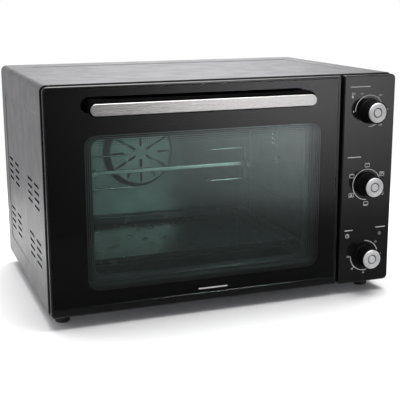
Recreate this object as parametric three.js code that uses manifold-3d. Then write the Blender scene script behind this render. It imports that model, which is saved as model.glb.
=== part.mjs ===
// Countertop convection oven with a rotisserie: a black steel casing round a shiny steel cavity, a glazed
// door hinged at its lower edge, and a control panel with three knobs on the right.
//
// Millimetres, +Z up. Every piece is drawn in the oven's own layout: x runs right from the left side, y runs
// back from the front face of the door, and z runs up from the lower edge of the door. The group at the end
// moves the layout so that the origin is at the centre of the base, with the front facing -Y.

import * as THREE from 'three';
import { ConvexGeometry } from 'three/addons/geometries/ConvexGeometry.js';
import { mergeVertices } from 'three/addons/utils/BufferGeometryUtils.js';
import Module from 'manifold-3d';

const wasm = await Module();
wasm.setup();

// ---------------------------------------------------------------- driving dimensions

const WIDTH = 590;
const FRONT_HEIGHT = 357;
const BODY_DEPTH = 400;
const FOOT_HEIGHT = 19;
const HANDLE_REACH = 32;
const GLAND_REACH = 12;
const GAP = 0.3; // between pieces that touch
const PAST = 1; // how far a cutting tool runs past the face that it cuts
const SHEET = 1.2;
const CORNER = 10;
const INNER_CORNER = 3;
const EDGE = 2; // how far the door's side, its top and the panel's top stand in from the casing's outline

const CASING = { front: 12.5, back: 399, flange: 14 };
const SIDE_EMBOSS = { front: 46, back: 365, bottom: 40, top: 312, corner: 14, depth: 1 };
const TOP_EMBOSS = { left: 42, right: 548, front: 57, back: 345, corner: 14, depth: 1 };
const VENT = {
  length: 40, height: 4.4, columns: [77, 137, 268, 332], topRows: [195, 103], rows: 4, pitch: 11.8,
  cutDepth: 8,
};
const REAR_COVER = { front: 396.8, plateBack: 398 };
const REAR_DOME = { left: 130, right: 360, bottom: 80, top: 300, corner: 16 };
const REAR_VENTS = {
  motor: { columns: [205, 285], length: 60, height: 5, bottom: 120, rows: 6, pitch: 26 },
  controls: { columns: [515], length: 90, height: 5, bottom: 200, rows: 6, pitch: 14 },
};
const BASE_VENTS = { first: 92.5, count: 8, pitch: 50, width: 5, rows: [150, 260], length: 60 };

const DOOR = { left: EDGE, right: 490, top: FRONT_HEIGHT - EDGE, thickness: 10, ledge: 8 };
const GLASS = { left: 6, right: 484, bottom: 14, top: 351, thickness: 4, corner: 5, innerCorner: 2 };
const FLANGE = { left: 14, right: 478, bottom: 19, top: 343, corner: 6 };
const PLUG = { left: 36, right: 454, bottom: 42, top: 320, back: 30, sheet: 1.5, corner: 12 };
const WINDOW = { left: 78, right: 438.5, bottom: 55.5, top: 270, corner: 14 };
const INNER_GLASS = { left: 66, right: 446.5, bottom: 47.5, top: 282, corner: 4 };
const HINGE = { y: 5.5, z: 6.5, pinRadius: 2, edgeRadius: 6.2 };
const HINGE_EAR = { columns: [24, 463], width: 3, radius: 3.8 };
const HINGE_POCKET = { front: 1.3, top: 12.5, side: 2 };
const HINGE_PIN = { before: 8, after: 11 };
const HINGE_FOOT = { side: 2, after: 9, sheet: 1, top: 12 };
const HANDLE = {
  left: 64, right: 430.5, bottom: 311.8, top: 332.4, backTop: 337, barFront: -30, barBack: -18, trimInset: 1.5,
};
const HANDLE_POST = { inset: 2, width: 28, edge: 1.5, corner: 6, overlap: 2 };

const PANEL = { left: 495, right: WIDTH, top: FRONT_HEIGHT - EDGE, wall: 3, back: 11 };
const KNOB_X = 542.4;
const CONTROLS = [
  { knob: 'temperature', body: 'thermostat', z: 295.4 },
  { knob: 'function', body: 'function_switch', z: 171.2 },
  { knob: 'timer', body: 'timer', z: 47.2 },
];
const KNOB = { base: 21, front: 18.4, cap: 16.2, reach: 27, capReach: 28.4, bore: 3.3, sides: 20 };
const CAP_RING = { inner: 6, outer: 8.2, depth: 1.4 };
const SHAFT = { radius: 3, front: -16, back: 30, flat: 1.6, flatBack: -4, hole: 4.2, clearance: 0.4 };
const LENS = { x: 570.9, z: 84, radius: 2.3, hole: 4.5 };

const FRAME = { front: 13, back: 14.2 };
const CAVITY = { left: 30, right: 460, bottom: 36, top: 326, back: 356 };
const LINER = { front: 14.5, sheet: 1, flange: 16, narrowFlange: 12, corner: 6 };
const HEATER = { radius: 3.2, hole: 3.8, collar: 5, collarLength: 9, pin: 1.5, reach: 16 };
const HEATERS = [
  { name: 'lower_front_heater', y: 110, z: 47 },
  { name: 'lower_rear_heater', y: 300, z: 47 },
  { name: 'upper_front_heater', y: 110, z: 313 },
  { name: 'upper_rear_heater', y: 270, z: 313 },
];
const RAIL = {
  depth: 11, sheet: 1.5, ledge: 1.4, skirt: 8, front: 50, back: 345, posts: [72, 300], postWidth: 14,
  levels: [63.7, 122, 272], bottom: 53, top: 292,
};
const SHIELD = {
  left: 473, right: 474.2, front: 20, back: 390, bottom: 6, top: 350, heaterHole: 8, lampEdge: 13,
};

const SPIT = { y: 172, z: 189, side: 6, clearance: 0.8, journalRadius: 3, left: 34, square: 49, right: 460 };
const SOCKET = { front: 452, radius: 8, hole: 9, shaft: 5, back: 486 };
const SPIT_MOTOR = {
  left: 475.5, right: 493, radius: 25, tabs: 34, tabHeight: 8, tabSheet: 1.6, bore: 5.4, boreEnd: 488,
};
const SUPPORT = { right: 43, halfWidth: 9, below: 15, above: 8, corner: 5, wall: 2.5, mouth: 3.5 };
const FORKS = [
  { side: 'left', x: 110, towards: 1 },
  { side: 'right', x: 392, towards: -1 },
];
const FORK = {
  hub: 14, hubWidth: 12, spread: 28, bar: 2, barDepth: 3, prongRadius: 1.6, prongLength: 75, point: 8,
  screwHole: 2.3,
};
const LAMP = {
  y: 193, z: 234, radius: 9, holder: 7.5, tip: 462.5, base: 482, end: 504, halfWidth: 10, halfHeight: 20,
  louvres: 5, louvrePitch: 8,
};
const LAMP_COVER = {
  left: 457.4, right: 459.7, halfWidth: 13, halfHeight: 23, slotWidth: 8, slotHeight: 1.7,
};

const FAN = { x: 245, z: 190, hub: 11, shaft: 3, front: 339, back: 352, shaftBack: 382, blades: 8 };
const BLADE = { root: 8, tip: 52, width: 14, twist: 0.6, y: 345.5 };
const FAN_GUARD = { front: 334, face: 62, edge: 75, slotWidth: 4.5, corner: 8 };
const GUARD_SLOTS = [{ count: 6, radius: 20, length: 16 }, { count: 12, radius: 45, length: 24 }];
const FAN_MOTOR = {
  front: 362, back: 394, radius: 17, core: 26, coreHeight: 22, coreFront: 369, coreBack: 386,
};
const TRAY = { left: 36, right: 454, front: 76, back: 348, rimTop: 66, floor: 52.4, rim: 9, corner: 14 };
const CRUMB_TRAY = {
  left: 42, right: 448, front: 36, back: 350, floor: 36.4, lip: 42, sideLip: 40, sheet: 1,
};
const FOOT = { radius: 12, sole: 11, edge: 2, inset: 27.5, front: 45, back: 355 };
const GLAND = { x: 524, z: 62, radius: 7, flange: 10, hole: 6, bore: 3.4, inside: 392 };

// ---------------------------------------------------------------- materials

const LOOKS = {
  blackPaint: { color: 0x1b1b1d, roughness: 0.42, metalness: 0.2 },
  blackPlastic: { color: 0x121214, roughness: 0.3, metalness: 0 },
  blackRubber: { color: 0x101011, roughness: 0.8, metalness: 0 },
  brushedSteel: { color: 0xb9b8b5, roughness: 0.32, metalness: 1 },
  steel: { color: 0x8f9694, roughness: 0.35, metalness: 1 },
  liner: { color: 0x7d8a87, roughness: 0.3, metalness: 0.9 },
  enamel: { color: 0x2a2d2e, roughness: 0.35, metalness: 0.1 },
  heater: { color: 0x4b4f4f, roughness: 0.5, metalness: 0.7 },
  glass: { color: 0x20262a, roughness: 0.05, metalness: 0 },
  lampGlass: { color: 0xf4efe0, roughness: 0.15, metalness: 0 },
  clearPlastic: { color: 0xd8d4cc, roughness: 0.25, metalness: 0 },
};

// ---------------------------------------------------------------- solids

// A closed geometry as a solid that can be cut and joined.
function solid(geometry) {
  const bare = geometry.clone();
  bare.deleteAttribute('normal');
  bare.deleteAttribute('uv');
  const merged = mergeVertices(bare, 1e-4);
  return new wasm.Manifold(new wasm.Mesh({
    numProp: 3,
    vertProperties: new Float32Array(merged.attributes.position.array),
    triVerts: new Uint32Array(merged.index.array),
  }));
}

// A solid as a flat-shaded geometry.
function geometryOf(body) {
  const { vertProperties, triVerts, numProp } = body.getMesh();
  const positions = new Float32Array((vertProperties.length / numProp) * 3);
  for (let i = 0; i * numProp < vertProperties.length; i += 1) {
    positions.set(vertProperties.subarray(i * numProp, i * numProp + 3), i * 3);
  }
  const indexed = new THREE.BufferGeometry();
  indexed.setAttribute('position', new THREE.BufferAttribute(positions, 3));
  indexed.setIndex(new THREE.BufferAttribute(new Uint32Array(triVerts), 1));
  const flat = indexed.toNonIndexed();
  flat.computeVertexNormals();
  return flat;
}

function join(...bodies) {
  return bodies.reduce((whole, body) => whole.add(body));
}

function cut(body, ...tools) {
  return tools.reduce((left, tool) => left.subtract(tool), body);
}

// The three ways to stand a flat outline up: its first axis, its second axis and the way it is extruded.
const TURNS = {
  x: new THREE.Matrix4().makeBasis(
    new THREE.Vector3(0, 1, 0), new THREE.Vector3(0, 0, 1), new THREE.Vector3(1, 0, 0)),
  y: new THREE.Matrix4().makeBasis(
    new THREE.Vector3(1, 0, 0), new THREE.Vector3(0, 0, 1), new THREE.Vector3(0, -1, 0)),
  z: new THREE.Matrix4(),
};

// An outline extruded along an axis from one coordinate to another. Outlines across x are drawn in (y, z),
// across y in (x, z) and across z in (x, y).
function prism(axis, outline, from, to, arcSteps = 2) {
  const settings = { depth: to - from, bevelEnabled: false, curveSegments: arcSteps };
  const geometry = new THREE.ExtrudeGeometry(outline, settings);
  geometry.applyMatrix4(TURNS[axis]);
  const shift = { x: [from, 0, 0], y: [0, to, 0], z: [0, 0, from] }[axis];
  geometry.translate(...shift);
  return solid(geometry);
}

function box(x0, x1, y0, y1, z0, z1) {
  const geometry = new THREE.BoxGeometry(x1 - x0, y1 - y0, z1 - z0);
  geometry.translate((x0 + x1) / 2, (y0 + y1) / 2, (z0 + z1) / 2);
  return solid(geometry);
}

// A profile of (radius, distance along the axis) points turned about an axis through the given centre.
function turned(axis, centre, profile, sides = 20) {
  const geometry = new THREE.LatheGeometry(profile.map(([r, a]) => new THREE.Vector2(r, a)), sides);
  if (axis === 'x') {
    geometry.rotateZ(-Math.PI / 2);
    geometry.translate(0, centre[0], centre[1]);
  } else if (axis === 'y') {
    geometry.translate(centre[0], 0, centre[1]);
  } else {
    geometry.rotateX(Math.PI / 2);
    geometry.translate(centre[0], centre[1], 0);
  }
  return solid(geometry);
}

function rod(axis, centre, radius, from, to, sides = 12) {
  return turned(axis, centre, [[0, from], [radius, from], [radius, to], [0, to]], sides);
}

// A rectangle with its own radius at each corner: lower left, lower right, upper right, upper left.
function corneredRect(x0, x1, y0, y1, [r0, r1, r2, r3]) {
  const quarter = Math.PI / 2;
  const outline = new THREE.Shape();
  outline.absarc(x1 - r1, y0 + r1, r1, -quarter, 0);
  outline.absarc(x1 - r2, y1 - r2, r2, 0, quarter);
  outline.absarc(x0 + r3, y1 - r3, r3, quarter, 2 * quarter);
  outline.absarc(x0 + r0, y0 + r0, r0, 2 * quarter, 3 * quarter);
  outline.closePath();
  return outline;
}

function roundedRect(x0, x1, y0, y1, r) {
  return corneredRect(x0, x1, y0, y1, [r, r, r, r]);
}

// The convex solid between two outlines across y, each given as [y, outline].
function hull(...ends) {
  const points = ends.flatMap(([y, outline]) => (
    outline.getPoints(2).map((p) => new THREE.Vector3(p.x, y, p.y))
  ));
  return solid(new ConvexGeometry(points));
}

// ---------------------------------------------------------------- casing, covers and frame

function ventSlots(x0, x1) {
  const { length, height } = VENT;
  const slots = [];
  for (const top of VENT.topRows) {
    for (const y of VENT.columns) {
      for (let row = 0; row < VENT.rows; row += 1) {
        const z = top - row * VENT.pitch;
        slots.push(box(x0, x1, y - length / 2, y + length / 2, z - height / 2, z + height / 2));
      }
    }
  }
  return slots;
}

// The shallow pressed panels of the two sides and the top, as solids to take out of a wall. skin is how far
// inside the outer face the wall's own face is.
function embossPanels(skin) {
  const s = SIDE_EMBOSS;
  const t = TOP_EMBOSS;
  const side = roundedRect(s.front - skin, s.back + skin, s.bottom - skin, s.top + skin, s.corner + skin);
  const top = roundedRect(t.left - skin, t.right + skin, t.front - skin, t.back + skin, t.corner + skin);
  return [
    prism('x', side, -PAST, skin + s.depth, 3),
    prism('x', side, WIDTH - skin - s.depth, WIDTH + PAST, 3),
    prism('z', top, FRONT_HEIGHT - skin - t.depth, FRONT_HEIGHT + PAST, 3),
  ];
}

function outerCasing() {
  const outline = roundedRect(0, WIDTH, 0, FRONT_HEIGHT, CORNER);
  const hollow = roundedRect(SHEET, WIDTH - SHEET, SHEET, FRONT_HEIGHT - SHEET, CORNER - SHEET);
  const outside = cut(prism('y', outline, CASING.front, CASING.back, 3), ...embossPanels(0));
  const inside = cut(prism('y', hollow, CASING.front - PAST, CASING.back + PAST, 3), ...embossPanels(SHEET));
  const below = box(CASING.flange, WIDTH - CASING.flange, 0, BODY_DEPTH + PAST, -PAST, SHEET + PAST);
  const slots = [...ventSlots(-PAST, VENT.cutDepth), ...ventSlots(WIDTH - VENT.cutDepth, WIDTH + PAST)];
  return cut(outside, inside, below, ...slots);
}

// The outline of the flat sheets that close the casing's two ends, just inside it.
function casingEnd() {
  const edge = SHEET + GAP;
  return roundedRect(edge, WIDTH - edge, edge, FRONT_HEIGHT - edge, CORNER - edge);
}

function rearVents({ columns, length, height, bottom, rows, pitch }) {
  const vents = [];
  const near = REAR_COVER.front - PAST;
  const far = BODY_DEPTH + PAST;
  for (const x of columns) {
    for (let row = 0; row < rows; row += 1) {
      const z = bottom + row * pitch;
      vents.push(box(x - length / 2, x + length / 2, near, far, z, z + height));
    }
  }
  return vents;
}

function rearCover() {
  const d = REAR_DOME;
  const inner = d.corner - SHEET;
  const plate = prism('y', casingEnd(), REAR_COVER.front, REAR_COVER.plateBack);
  const domeOutline = roundedRect(d.left, d.right, d.bottom, d.top, d.corner);
  const hollow = roundedRect(d.left + SHEET, d.right - SHEET, d.bottom + SHEET, d.top - SHEET, inner);
  const dome = prism('y', domeOutline, REAR_COVER.front, BODY_DEPTH);
  const domeHollow = prism('y', hollow, REAR_COVER.front - PAST, BODY_DEPTH - SHEET);
  const cordHole = rod('y', [GLAND.x, GLAND.z], GLAND.hole, REAR_COVER.front - PAST, BODY_DEPTH);
  return cut(join(plate, dome), domeHollow, cordHole, ...Object.values(REAR_VENTS).flatMap(rearVents));
}

function basePlate() {
  const v = BASE_VENTS;
  const under = SHEET + GAP;
  const plate = box(CORNER, WIDTH - CORNER, FRAME.back + GAP, REAR_COVER.front - GAP, under, under + SHEET);
  const vents = [];
  const above = under + 2 * SHEET;
  for (let i = 0; i < v.count; i += 1) {
    const x = v.first + i * v.pitch;
    for (const y of v.rows) {
      vents.push(box(x - v.width / 2, x + v.width / 2, y - v.length / 2, y + v.length / 2, 0, above));
    }
  }
  return cut(plate, ...vents);
}

function frontFrame() {
  const near = FRAME.front - PAST;
  const far = FRAME.back + PAST;
  const sheet = prism('y', casingEnd(), FRAME.front, FRAME.back);
  const mouth = prism('y', roundedRect(CAVITY.left, CAVITY.right, CAVITY.bottom, CAVITY.top, 4), near, far);
  const shafts = CONTROLS.map(({ z }) => rod('y', [KNOB_X, z], SHAFT.hole, near, far));
  return cut(sheet, mouth, rod('y', [LENS.x, LENS.z], LENS.hole, near, far), ...shafts);
}

function heatShield() {
  const s = SHIELD;
  const near = s.left - PAST;
  const far = s.right + PAST;
  const plate = box(s.left, s.right, s.front, s.back, s.bottom, s.top);
  const holes = HEATERS.map(({ y, z }) => rod('x', [y, z], s.heaterHole, near, far));
  const socket = rod('x', [SPIT.y, SPIT.z], SOCKET.hole, near, far);
  const { y: lampY, z: lampZ } = LAMP;
  const reach = LAMP.halfHeight + 2;
  const lamp = box(near, far, lampY - s.lampEdge, lampY + s.lampEdge, lampZ - reach, lampZ + reach);
  return cut(plate, socket, lamp, ...holes);
}

function foot(x, y) {
  const profile = [
    [0, -FOOT_HEIGHT], [FOOT.sole, -FOOT_HEIGHT], [FOOT.radius, FOOT.edge - FOOT_HEIGHT],
    [FOOT.radius, SHEET], [0, SHEET],
  ];
  return turned('z', [x, y], profile);
}

function cordGland() {
  const { bore, hole, radius, flange, inside } = GLAND;
  const end = BODY_DEPTH + GLAND_REACH;
  const cover = REAR_COVER.plateBack + GAP;
  const profile = [
    [bore, inside], [hole - GAP, inside], [hole - GAP, cover], [flange, cover], [flange, BODY_DEPTH + 1],
    [radius, BODY_DEPTH + 2], [radius - 1.5, end], [bore, end], [bore, inside],
  ];
  return turned('y', [GLAND.x, GLAND.z], profile, 16);
}

// ---------------------------------------------------------------- cavity

function cavityLiner() {
  const c = CAVITY;
  const t = LINER.sheet;
  const { flange: wide, narrowFlange: narrow, corner, front } = LINER;
  const flangeOutline = roundedRect(c.left - wide, c.right + narrow, c.bottom - wide, c.top + narrow, corner);
  const flange = prism('y', flangeOutline, front, front + SHEET);
  const outside = box(c.left - t, c.right + t, front, c.back + t, c.bottom - t, c.top + t);
  const inside = box(c.left, c.right, front - PAST, c.back, c.bottom, c.top);
  const leftWall = [c.left - t - PAST, c.left + PAST];
  const rightWall = [c.right - PAST, c.right + t + PAST];
  const heaterHoles = HEATERS.flatMap(({ y, z }) => [
    rod('x', [y, z], HEATER.hole, ...leftWall),
    rod('x', [y, z], HEATER.hole, ...rightWall),
  ]);
  const socketHole = rod('x', [SPIT.y, SPIT.z], SOCKET.hole, ...rightWall);
  const { y, z, halfWidth, halfHeight } = LAMP;
  const lampHole = box(...rightWall, y - halfWidth, y + halfWidth, z - halfHeight, z + halfHeight);
  const fanHole = rod('y', [FAN.x, FAN.z], FAN.shaft + 5, c.back - PAST, c.back + t + PAST);
  return cut(join(flange, outside), inside, socketHole, lampHole, fanHole, ...heaterHoles);
}

// A rack rail: two upright straps on the cavity wall with a ledge for each level. wall is the wall's x, and
// inward is +1 on the left wall and -1 on the right one.
function rackRail(wall, inward) {
  const r = RAIL;
  const across = (near, far) => [wall + inward * near, wall + inward * far].sort((a, b) => a - b);
  const strap = across(GAP, GAP + r.sheet);
  const posts = r.posts.map((y) => box(...strap, y, y + r.postWidth, r.bottom, r.top));
  const ledges = r.levels.map((z) => join(
    box(...across(GAP, r.depth), r.front, r.back, z - r.ledge, z),
    box(...strap, r.front, r.back, z - r.skirt, z),
  ));
  return join(...posts, ...ledges);
}

// A heater rod with a ceramic collar and a terminal pin outside each wall of the cavity.
function heater(y, z) {
  const { radius, collar, collarLength, pin, reach } = HEATER;
  const left = CAVITY.left - LINER.sheet - GAP;
  const right = CAVITY.right + LINER.sheet + GAP;
  const profile = [
    [0, left - reach], [pin, left - reach], [pin, left - collarLength], [collar, left - collarLength],
    [collar, left], [radius, left], [radius, right], [collar, right], [collar, right + collarLength],
    [pin, right + collarLength], [pin, right + reach], [0, right + reach],
  ];
  return turned('x', [y, z], profile, 12);
}

function bakingTray() {
  const t = TRAY;
  const rimOutline = roundedRect(t.left, t.right, t.front, t.back, t.corner);
  const rim = prism('z', rimOutline, t.rimTop - SHEET, t.rimTop, 3);
  const wall = (inset, corner, from, to) => {
    const outline = roundedRect(t.left + inset, t.right - inset, t.front + inset, t.back - inset, corner);
    return prism('z', outline, from, to, 3);
  };
  const well = wall(t.rim, 10, t.floor, t.rimTop);
  const inside = wall(t.rim + SHEET, 9, t.floor + SHEET, t.rimTop + PAST);
  return cut(join(rim, well), inside);
}

function crumbTray() {
  const t = CRUMB_TRAY;
  const floor = box(t.left, t.right, t.front, t.back, t.floor, t.floor + t.sheet);
  const frontLip = box(t.left, t.right, t.front, t.front + t.sheet, t.floor, t.lip);
  const sides = [t.left, t.right - t.sheet].map((x) => (
    box(x, x + t.sheet, t.front, t.back, t.floor, t.sideLip)
  ));
  return join(floor, frontLip, ...sides);
}

function fanGuard() {
  const { front, face, edge, corner, slotWidth } = FAN_GUARD;
  const back = CAVITY.back - GAP;
  const profile = [
    [0, front], [face, front], [edge - corner, back - SHEET], [edge, back - SHEET], [edge, back],
    [edge - corner - 1, back], [face - 1, front + SHEET], [0, front + SHEET],
  ];
  const slots = [];
  for (const { count, radius, length } of GUARD_SLOTS) {
    for (let i = 0; i < count; i += 1) {
      const slot = new THREE.BoxGeometry(slotWidth, corner + 2, length);
      slot.translate(0, front, radius);
      slot.rotateY((i / count) * 2 * Math.PI);
      slot.translate(FAN.x, 0, FAN.z);
      slots.push(solid(slot));
    }
  }
  return cut(turned('y', [FAN.x, FAN.z], profile, 24), ...slots);
}

function convectionFan() {
  const hub = rod('y', [FAN.x, FAN.z], FAN.hub, FAN.front, FAN.back, 16);
  const shaft = rod('y', [FAN.x, FAN.z], FAN.shaft, FAN.back - PAST, FAN.shaftBack);
  const blades = [];
  for (let i = 0; i < FAN.blades; i += 1) {
    const blade = new THREE.BoxGeometry(BLADE.width, SHEET, BLADE.tip - BLADE.root);
    blade.rotateZ(BLADE.twist);
    blade.translate(0, BLADE.y, (BLADE.tip + BLADE.root) / 2);
    blade.rotateY((i / FAN.blades) * 2 * Math.PI);
    blade.translate(FAN.x, 0, FAN.z);
    blades.push(solid(blade));
  }
  return join(hub, shaft, ...blades);
}

function fanMotor() {
  const m = FAN_MOTOR;
  const can = rod('y', [FAN.x, FAN.z], m.radius, m.front, m.back, 20);
  const core = box(
    FAN.x - m.core, FAN.x + m.core, m.coreFront, m.coreBack, FAN.z - m.coreHeight, FAN.z + m.coreHeight);
  const bore = rod('y', [FAN.x, FAN.z], FAN.shaft + 0.4, m.front - PAST, FAN.shaftBack + 2);
  return cut(join(can, core), bore);
}

function ovenLamp() {
  const { radius, tip, base, holder, end } = LAMP;
  const profile = [
    [0, tip], [6, tip + 1], [radius, tip + 5.5], [radius, base - 6], [holder - 0.5, base],
    [holder, base + 0.5], [holder, end], [0, end],
  ];
  return turned('x', [LAMP.y, LAMP.z], profile, 16);
}

function lampCover() {
  const { left, right, halfWidth, halfHeight, slotWidth, slotHeight } = LAMP_COVER;
  const outline = roundedRect(
    LAMP.y - halfWidth, LAMP.y + halfWidth, LAMP.z - halfHeight, LAMP.z + halfHeight, INNER_CORNER);
  const slots = [];
  for (let i = 0; i < LAMP.louvres; i += 1) {
    const z = LAMP.z + (i - (LAMP.louvres - 1) / 2) * LAMP.louvrePitch;
    slots.push(box(
      left - PAST, right + PAST, LAMP.y - slotWidth, LAMP.y + slotWidth, z - slotHeight, z + slotHeight));
  }
  return cut(prism('x', outline, left, right, 1), ...slots);
}

// ---------------------------------------------------------------- rotisserie

function spitMotor() {
  const m = SPIT_MOTOR;
  const gearbox = rod('x', [SPIT.y, SPIT.z], m.radius, m.left, m.right, 24);
  const across = [SPIT.y - m.tabs, SPIT.y + m.tabs];
  const tabs = box(m.left, m.left + m.tabSheet, ...across, SPIT.z - m.tabHeight, SPIT.z + m.tabHeight);
  return cut(join(gearbox, tabs), rod('x', [SPIT.y, SPIT.z], m.bore, m.left - PAST, m.boreEnd, 16));
}

// A square bar along x about the spit's axis.
function squareBar(side, from, to) {
  const half = side / 2;
  return box(from, to, SPIT.y - half, SPIT.y + half, SPIT.z - half, SPIT.z + half);
}

// The socket turns with the spit: a round head with a square hole, on the motor's output shaft.
function spitSocket() {
  const { front, radius, shaft, back } = SOCKET;
  const neck = front + 12;
  const profile = [
    [0, front], [radius - 1, front], [radius, front + 2], [radius, neck], [shaft, neck], [shaft, back],
    [0, back],
  ];
  const square = squareBar(SPIT.side + SPIT.clearance, front - PAST, SPIT.right + PAST);
  return cut(turned('x', [SPIT.y, SPIT.z], profile), square);
}

function spitRod() {
  const { journalRadius: r, left, square } = SPIT;
  const collar = [square - 3, square + 0.5];
  const journal = [
    [0, left], [r, left], [r, collar[0]], [r + 2.5, collar[0]], [r + 2.5, collar[1]], [0, collar[1]],
  ];
  return join(squareBar(SPIT.side, square, SPIT.right), turned('x', [SPIT.y, SPIT.z], journal, 16));
}

function spitSupport() {
  const p = SUPPORT;
  const far = p.right + 2;
  const near = CAVITY.left + p.wall;
  const width = [SPIT.y - p.halfWidth, SPIT.y + p.halfWidth];
  const corners = [p.corner, p.corner, 2, 2];
  const outline = corneredRect(...width, SPIT.z - p.below, SPIT.z + p.above, corners);
  const seat = rod('x', [SPIT.y, SPIT.z], p.mouth, near, far);
  const mouth = box(near, far, SPIT.y - p.mouth, SPIT.y + p.mouth, SPIT.z, SPIT.z + 2 * p.above);
  return cut(prism('x', outline, CAVITY.left + GAP, p.right), seat, mouth);
}

function spitFork(x, towards) {
  const f = FORK;
  const barEnd = f.spread + f.bar;
  const hub = squareBar(f.hub, x - f.hubWidth / 2, x + f.hubWidth / 2);
  const bar = box(
    x - f.bar, x + f.bar, SPIT.y - f.barDepth, SPIT.y + f.barDepth, SPIT.z - barEnd, SPIT.z + barEnd);
  const prongs = [-1, 1].map((side) => {
    const tip = x + towards * f.prongLength;
    const profile = [[0, x], [f.prongRadius, x], [f.prongRadius, tip - towards * f.point], [0, tip]];
    return turned('x', [SPIT.y, SPIT.z + side * f.spread], towards > 0 ? profile : profile.reverse(), 8);
  });
  const bore = squareBar(SPIT.side + SPIT.clearance, x - f.hubWidth, x + f.hubWidth);
  const hubFace = SPIT.y - f.hub / 2;
  const screwHole = rod('y', [x, SPIT.z], f.screwHole, hubFace - PAST, SPIT.y - SPIT.side / 2);
  return cut(join(hub, bar, ...prongs), bore, screwHole);
}

function forkScrew(x) {
  const hubFace = SPIT.y - FORK.hub / 2;
  const head = hubFace - GAP;
  const profile = [
    [0, hubFace - 12], [5, hubFace - 12], [6, hubFace - 11], [6, hubFace - 5], [3.5, hubFace - 4],
    [3.5, head], [2, head], [2, hubFace + 3.2], [0, hubFace + 3.2],
  ];
  return turned('y', [x, SPIT.z], profile, 12);
}

// ---------------------------------------------------------------- door

// The part of a box near the door's lower edge that lies outside the round edge about the hinge axis.
function lowerEdgeTrim() {
  const block = box(0, DOOR.right + PAST, -8, HINGE.y + 9, -8, HINGE.z);
  return cut(block, rod('x', [HINGE.y, HINGE.z], HINGE.edgeRadius, -PAST, DOOR.right + 2 * PAST, 24));
}

function doorGlassOutline(grow) {
  const { left, right, bottom, top, corner, innerCorner } = GLASS;
  const corners = [corner + grow, innerCorner, innerCorner, corner + grow];
  return corneredRect(left - grow, right + grow, bottom - grow, top + grow, corners);
}

function doorFrame() {
  const d = DOOR;
  const g = GLASS;
  const past = d.thickness + PAST;
  const outer = CORNER - EDGE;
  const outline = corneredRect(d.left, d.right, 0, d.top, [outer, INNER_CORNER, INNER_CORNER, outer]);
  const seat = prism('y', doorGlassOutline(GAP), -PAST, GLASS.thickness + GAP);
  const openingOutline = roundedRect(
    g.left + d.ledge, g.right - d.ledge, g.bottom + d.ledge, g.top - d.ledge, 6);
  const opening = prism('y', openingOutline, 0, past);
  const { front, top, side } = HINGE_POCKET;
  const pockets = HINGE_EAR.columns.map((x) => (
    box(x - side, x + HINGE_EAR.width + side, front, past, -PAST, top)
  ));
  const pinHoles = HINGE_EAR.columns.map((x) => (
    rod('x', [HINGE.y, HINGE.z], HINGE.pinRadius + GAP, x - HINGE_PIN.before - 1, x + HINGE_PIN.after + 1)
  ));
  return cut(prism('y', outline, 0, d.thickness, 3), lowerEdgeTrim(), seat, opening, ...pockets, ...pinHoles);
}

function doorGlass() {
  return prism('y', doorGlassOutline(0), 0, GLASS.thickness, 3);
}

// The steel back of the door: a flange against the frame and a box that plugs the mouth of the cavity.
function doorInnerPanel() {
  const f = FLANGE;
  const p = PLUG;
  const t = p.sheet;
  const w = WINDOW;
  const front = DOOR.thickness + GAP;
  const flange = prism('y', roundedRect(f.left, f.right, f.bottom, f.top, f.corner), front, front + t);
  const outside = prism('y', roundedRect(p.left, p.right, p.bottom, p.top, p.corner), front, p.back, 3);
  const hollow = roundedRect(p.left + t, p.right - t, p.bottom + t, p.top - t, p.corner - t);
  const inside = prism('y', hollow, front - PAST, p.back - t, 3);
  const windowOutline = roundedRect(w.left, w.right, w.bottom, w.top, w.corner);
  const window = prism('y', windowOutline, p.back - 2 * t, p.back + PAST, 3);
  return cut(join(flange, outside), inside, window);
}

function innerGlass() {
  const g = INNER_GLASS;
  const back = PLUG.back - PLUG.sheet - GAP;
  return prism('y', roundedRect(g.left, g.right, g.bottom, g.top, g.corner), back - GLASS.thickness, back);
}

// The bar's upper face rises towards the door, so that it is taller at the back than at the front.
function handleBar() {
  const h = HANDLE;
  const p = HANDLE_POST;
  const r = (h.top - h.bottom) / 2 - 0.01;
  const front = roundedRect(h.left, h.right, h.bottom, h.top, r);
  const back = roundedRect(h.left, h.right, h.bottom, h.backTop, r);
  const bar = hull([h.barFront, front], [h.barBack, back]);
  const posts = [h.left + p.inset, h.right - p.inset - p.width].map((x) => {
    const outline = roundedRect(x, x + p.width, h.bottom + p.edge, h.backTop - p.edge, p.corner);
    return prism('y', outline, h.barBack - p.overlap, -GAP);
  });
  return join(bar, ...posts);
}

function handleTrim() {
  const h = HANDLE;
  const t = h.trimInset;
  const r = (h.top - h.bottom) / 2 - t - 0.01;
  const outline = roundedRect(h.left + t, h.right - t, h.bottom + t, h.top - t, r);
  return prism('y', outline, -HANDLE_REACH, h.barFront - GAP, 4);
}

// A bracket on the front frame: a foot plate and an ear that reaches into the door's pocket.
function hingeBracket(x) {
  const { width, radius } = HINGE_EAR;
  const { side, after, sheet, top } = HINGE_FOOT;
  const back = FRAME.front - GAP;
  const low = HINGE.z - 3;
  const ear = join(
    rod('x', [HINGE.y, HINGE.z], radius, x, x + width, 24),
    box(x, x + width, HINGE.y, back, low, HINGE.z + 3),
  );
  const plate = box(x - side, x + width + after, back - sheet, back, low, HINGE.z + top);
  const hole = rod('x', [HINGE.y, HINGE.z], HINGE.pinRadius + GAP, x - PAST, x + width + PAST);
  return cut(join(ear, plate), hole);
}

function hingePin(x) {
  return rod('x', [HINGE.y, HINGE.z], HINGE.pinRadius, x - HINGE_PIN.before, x + HINGE_PIN.after);
}

// ---------------------------------------------------------------- control panel

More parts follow.
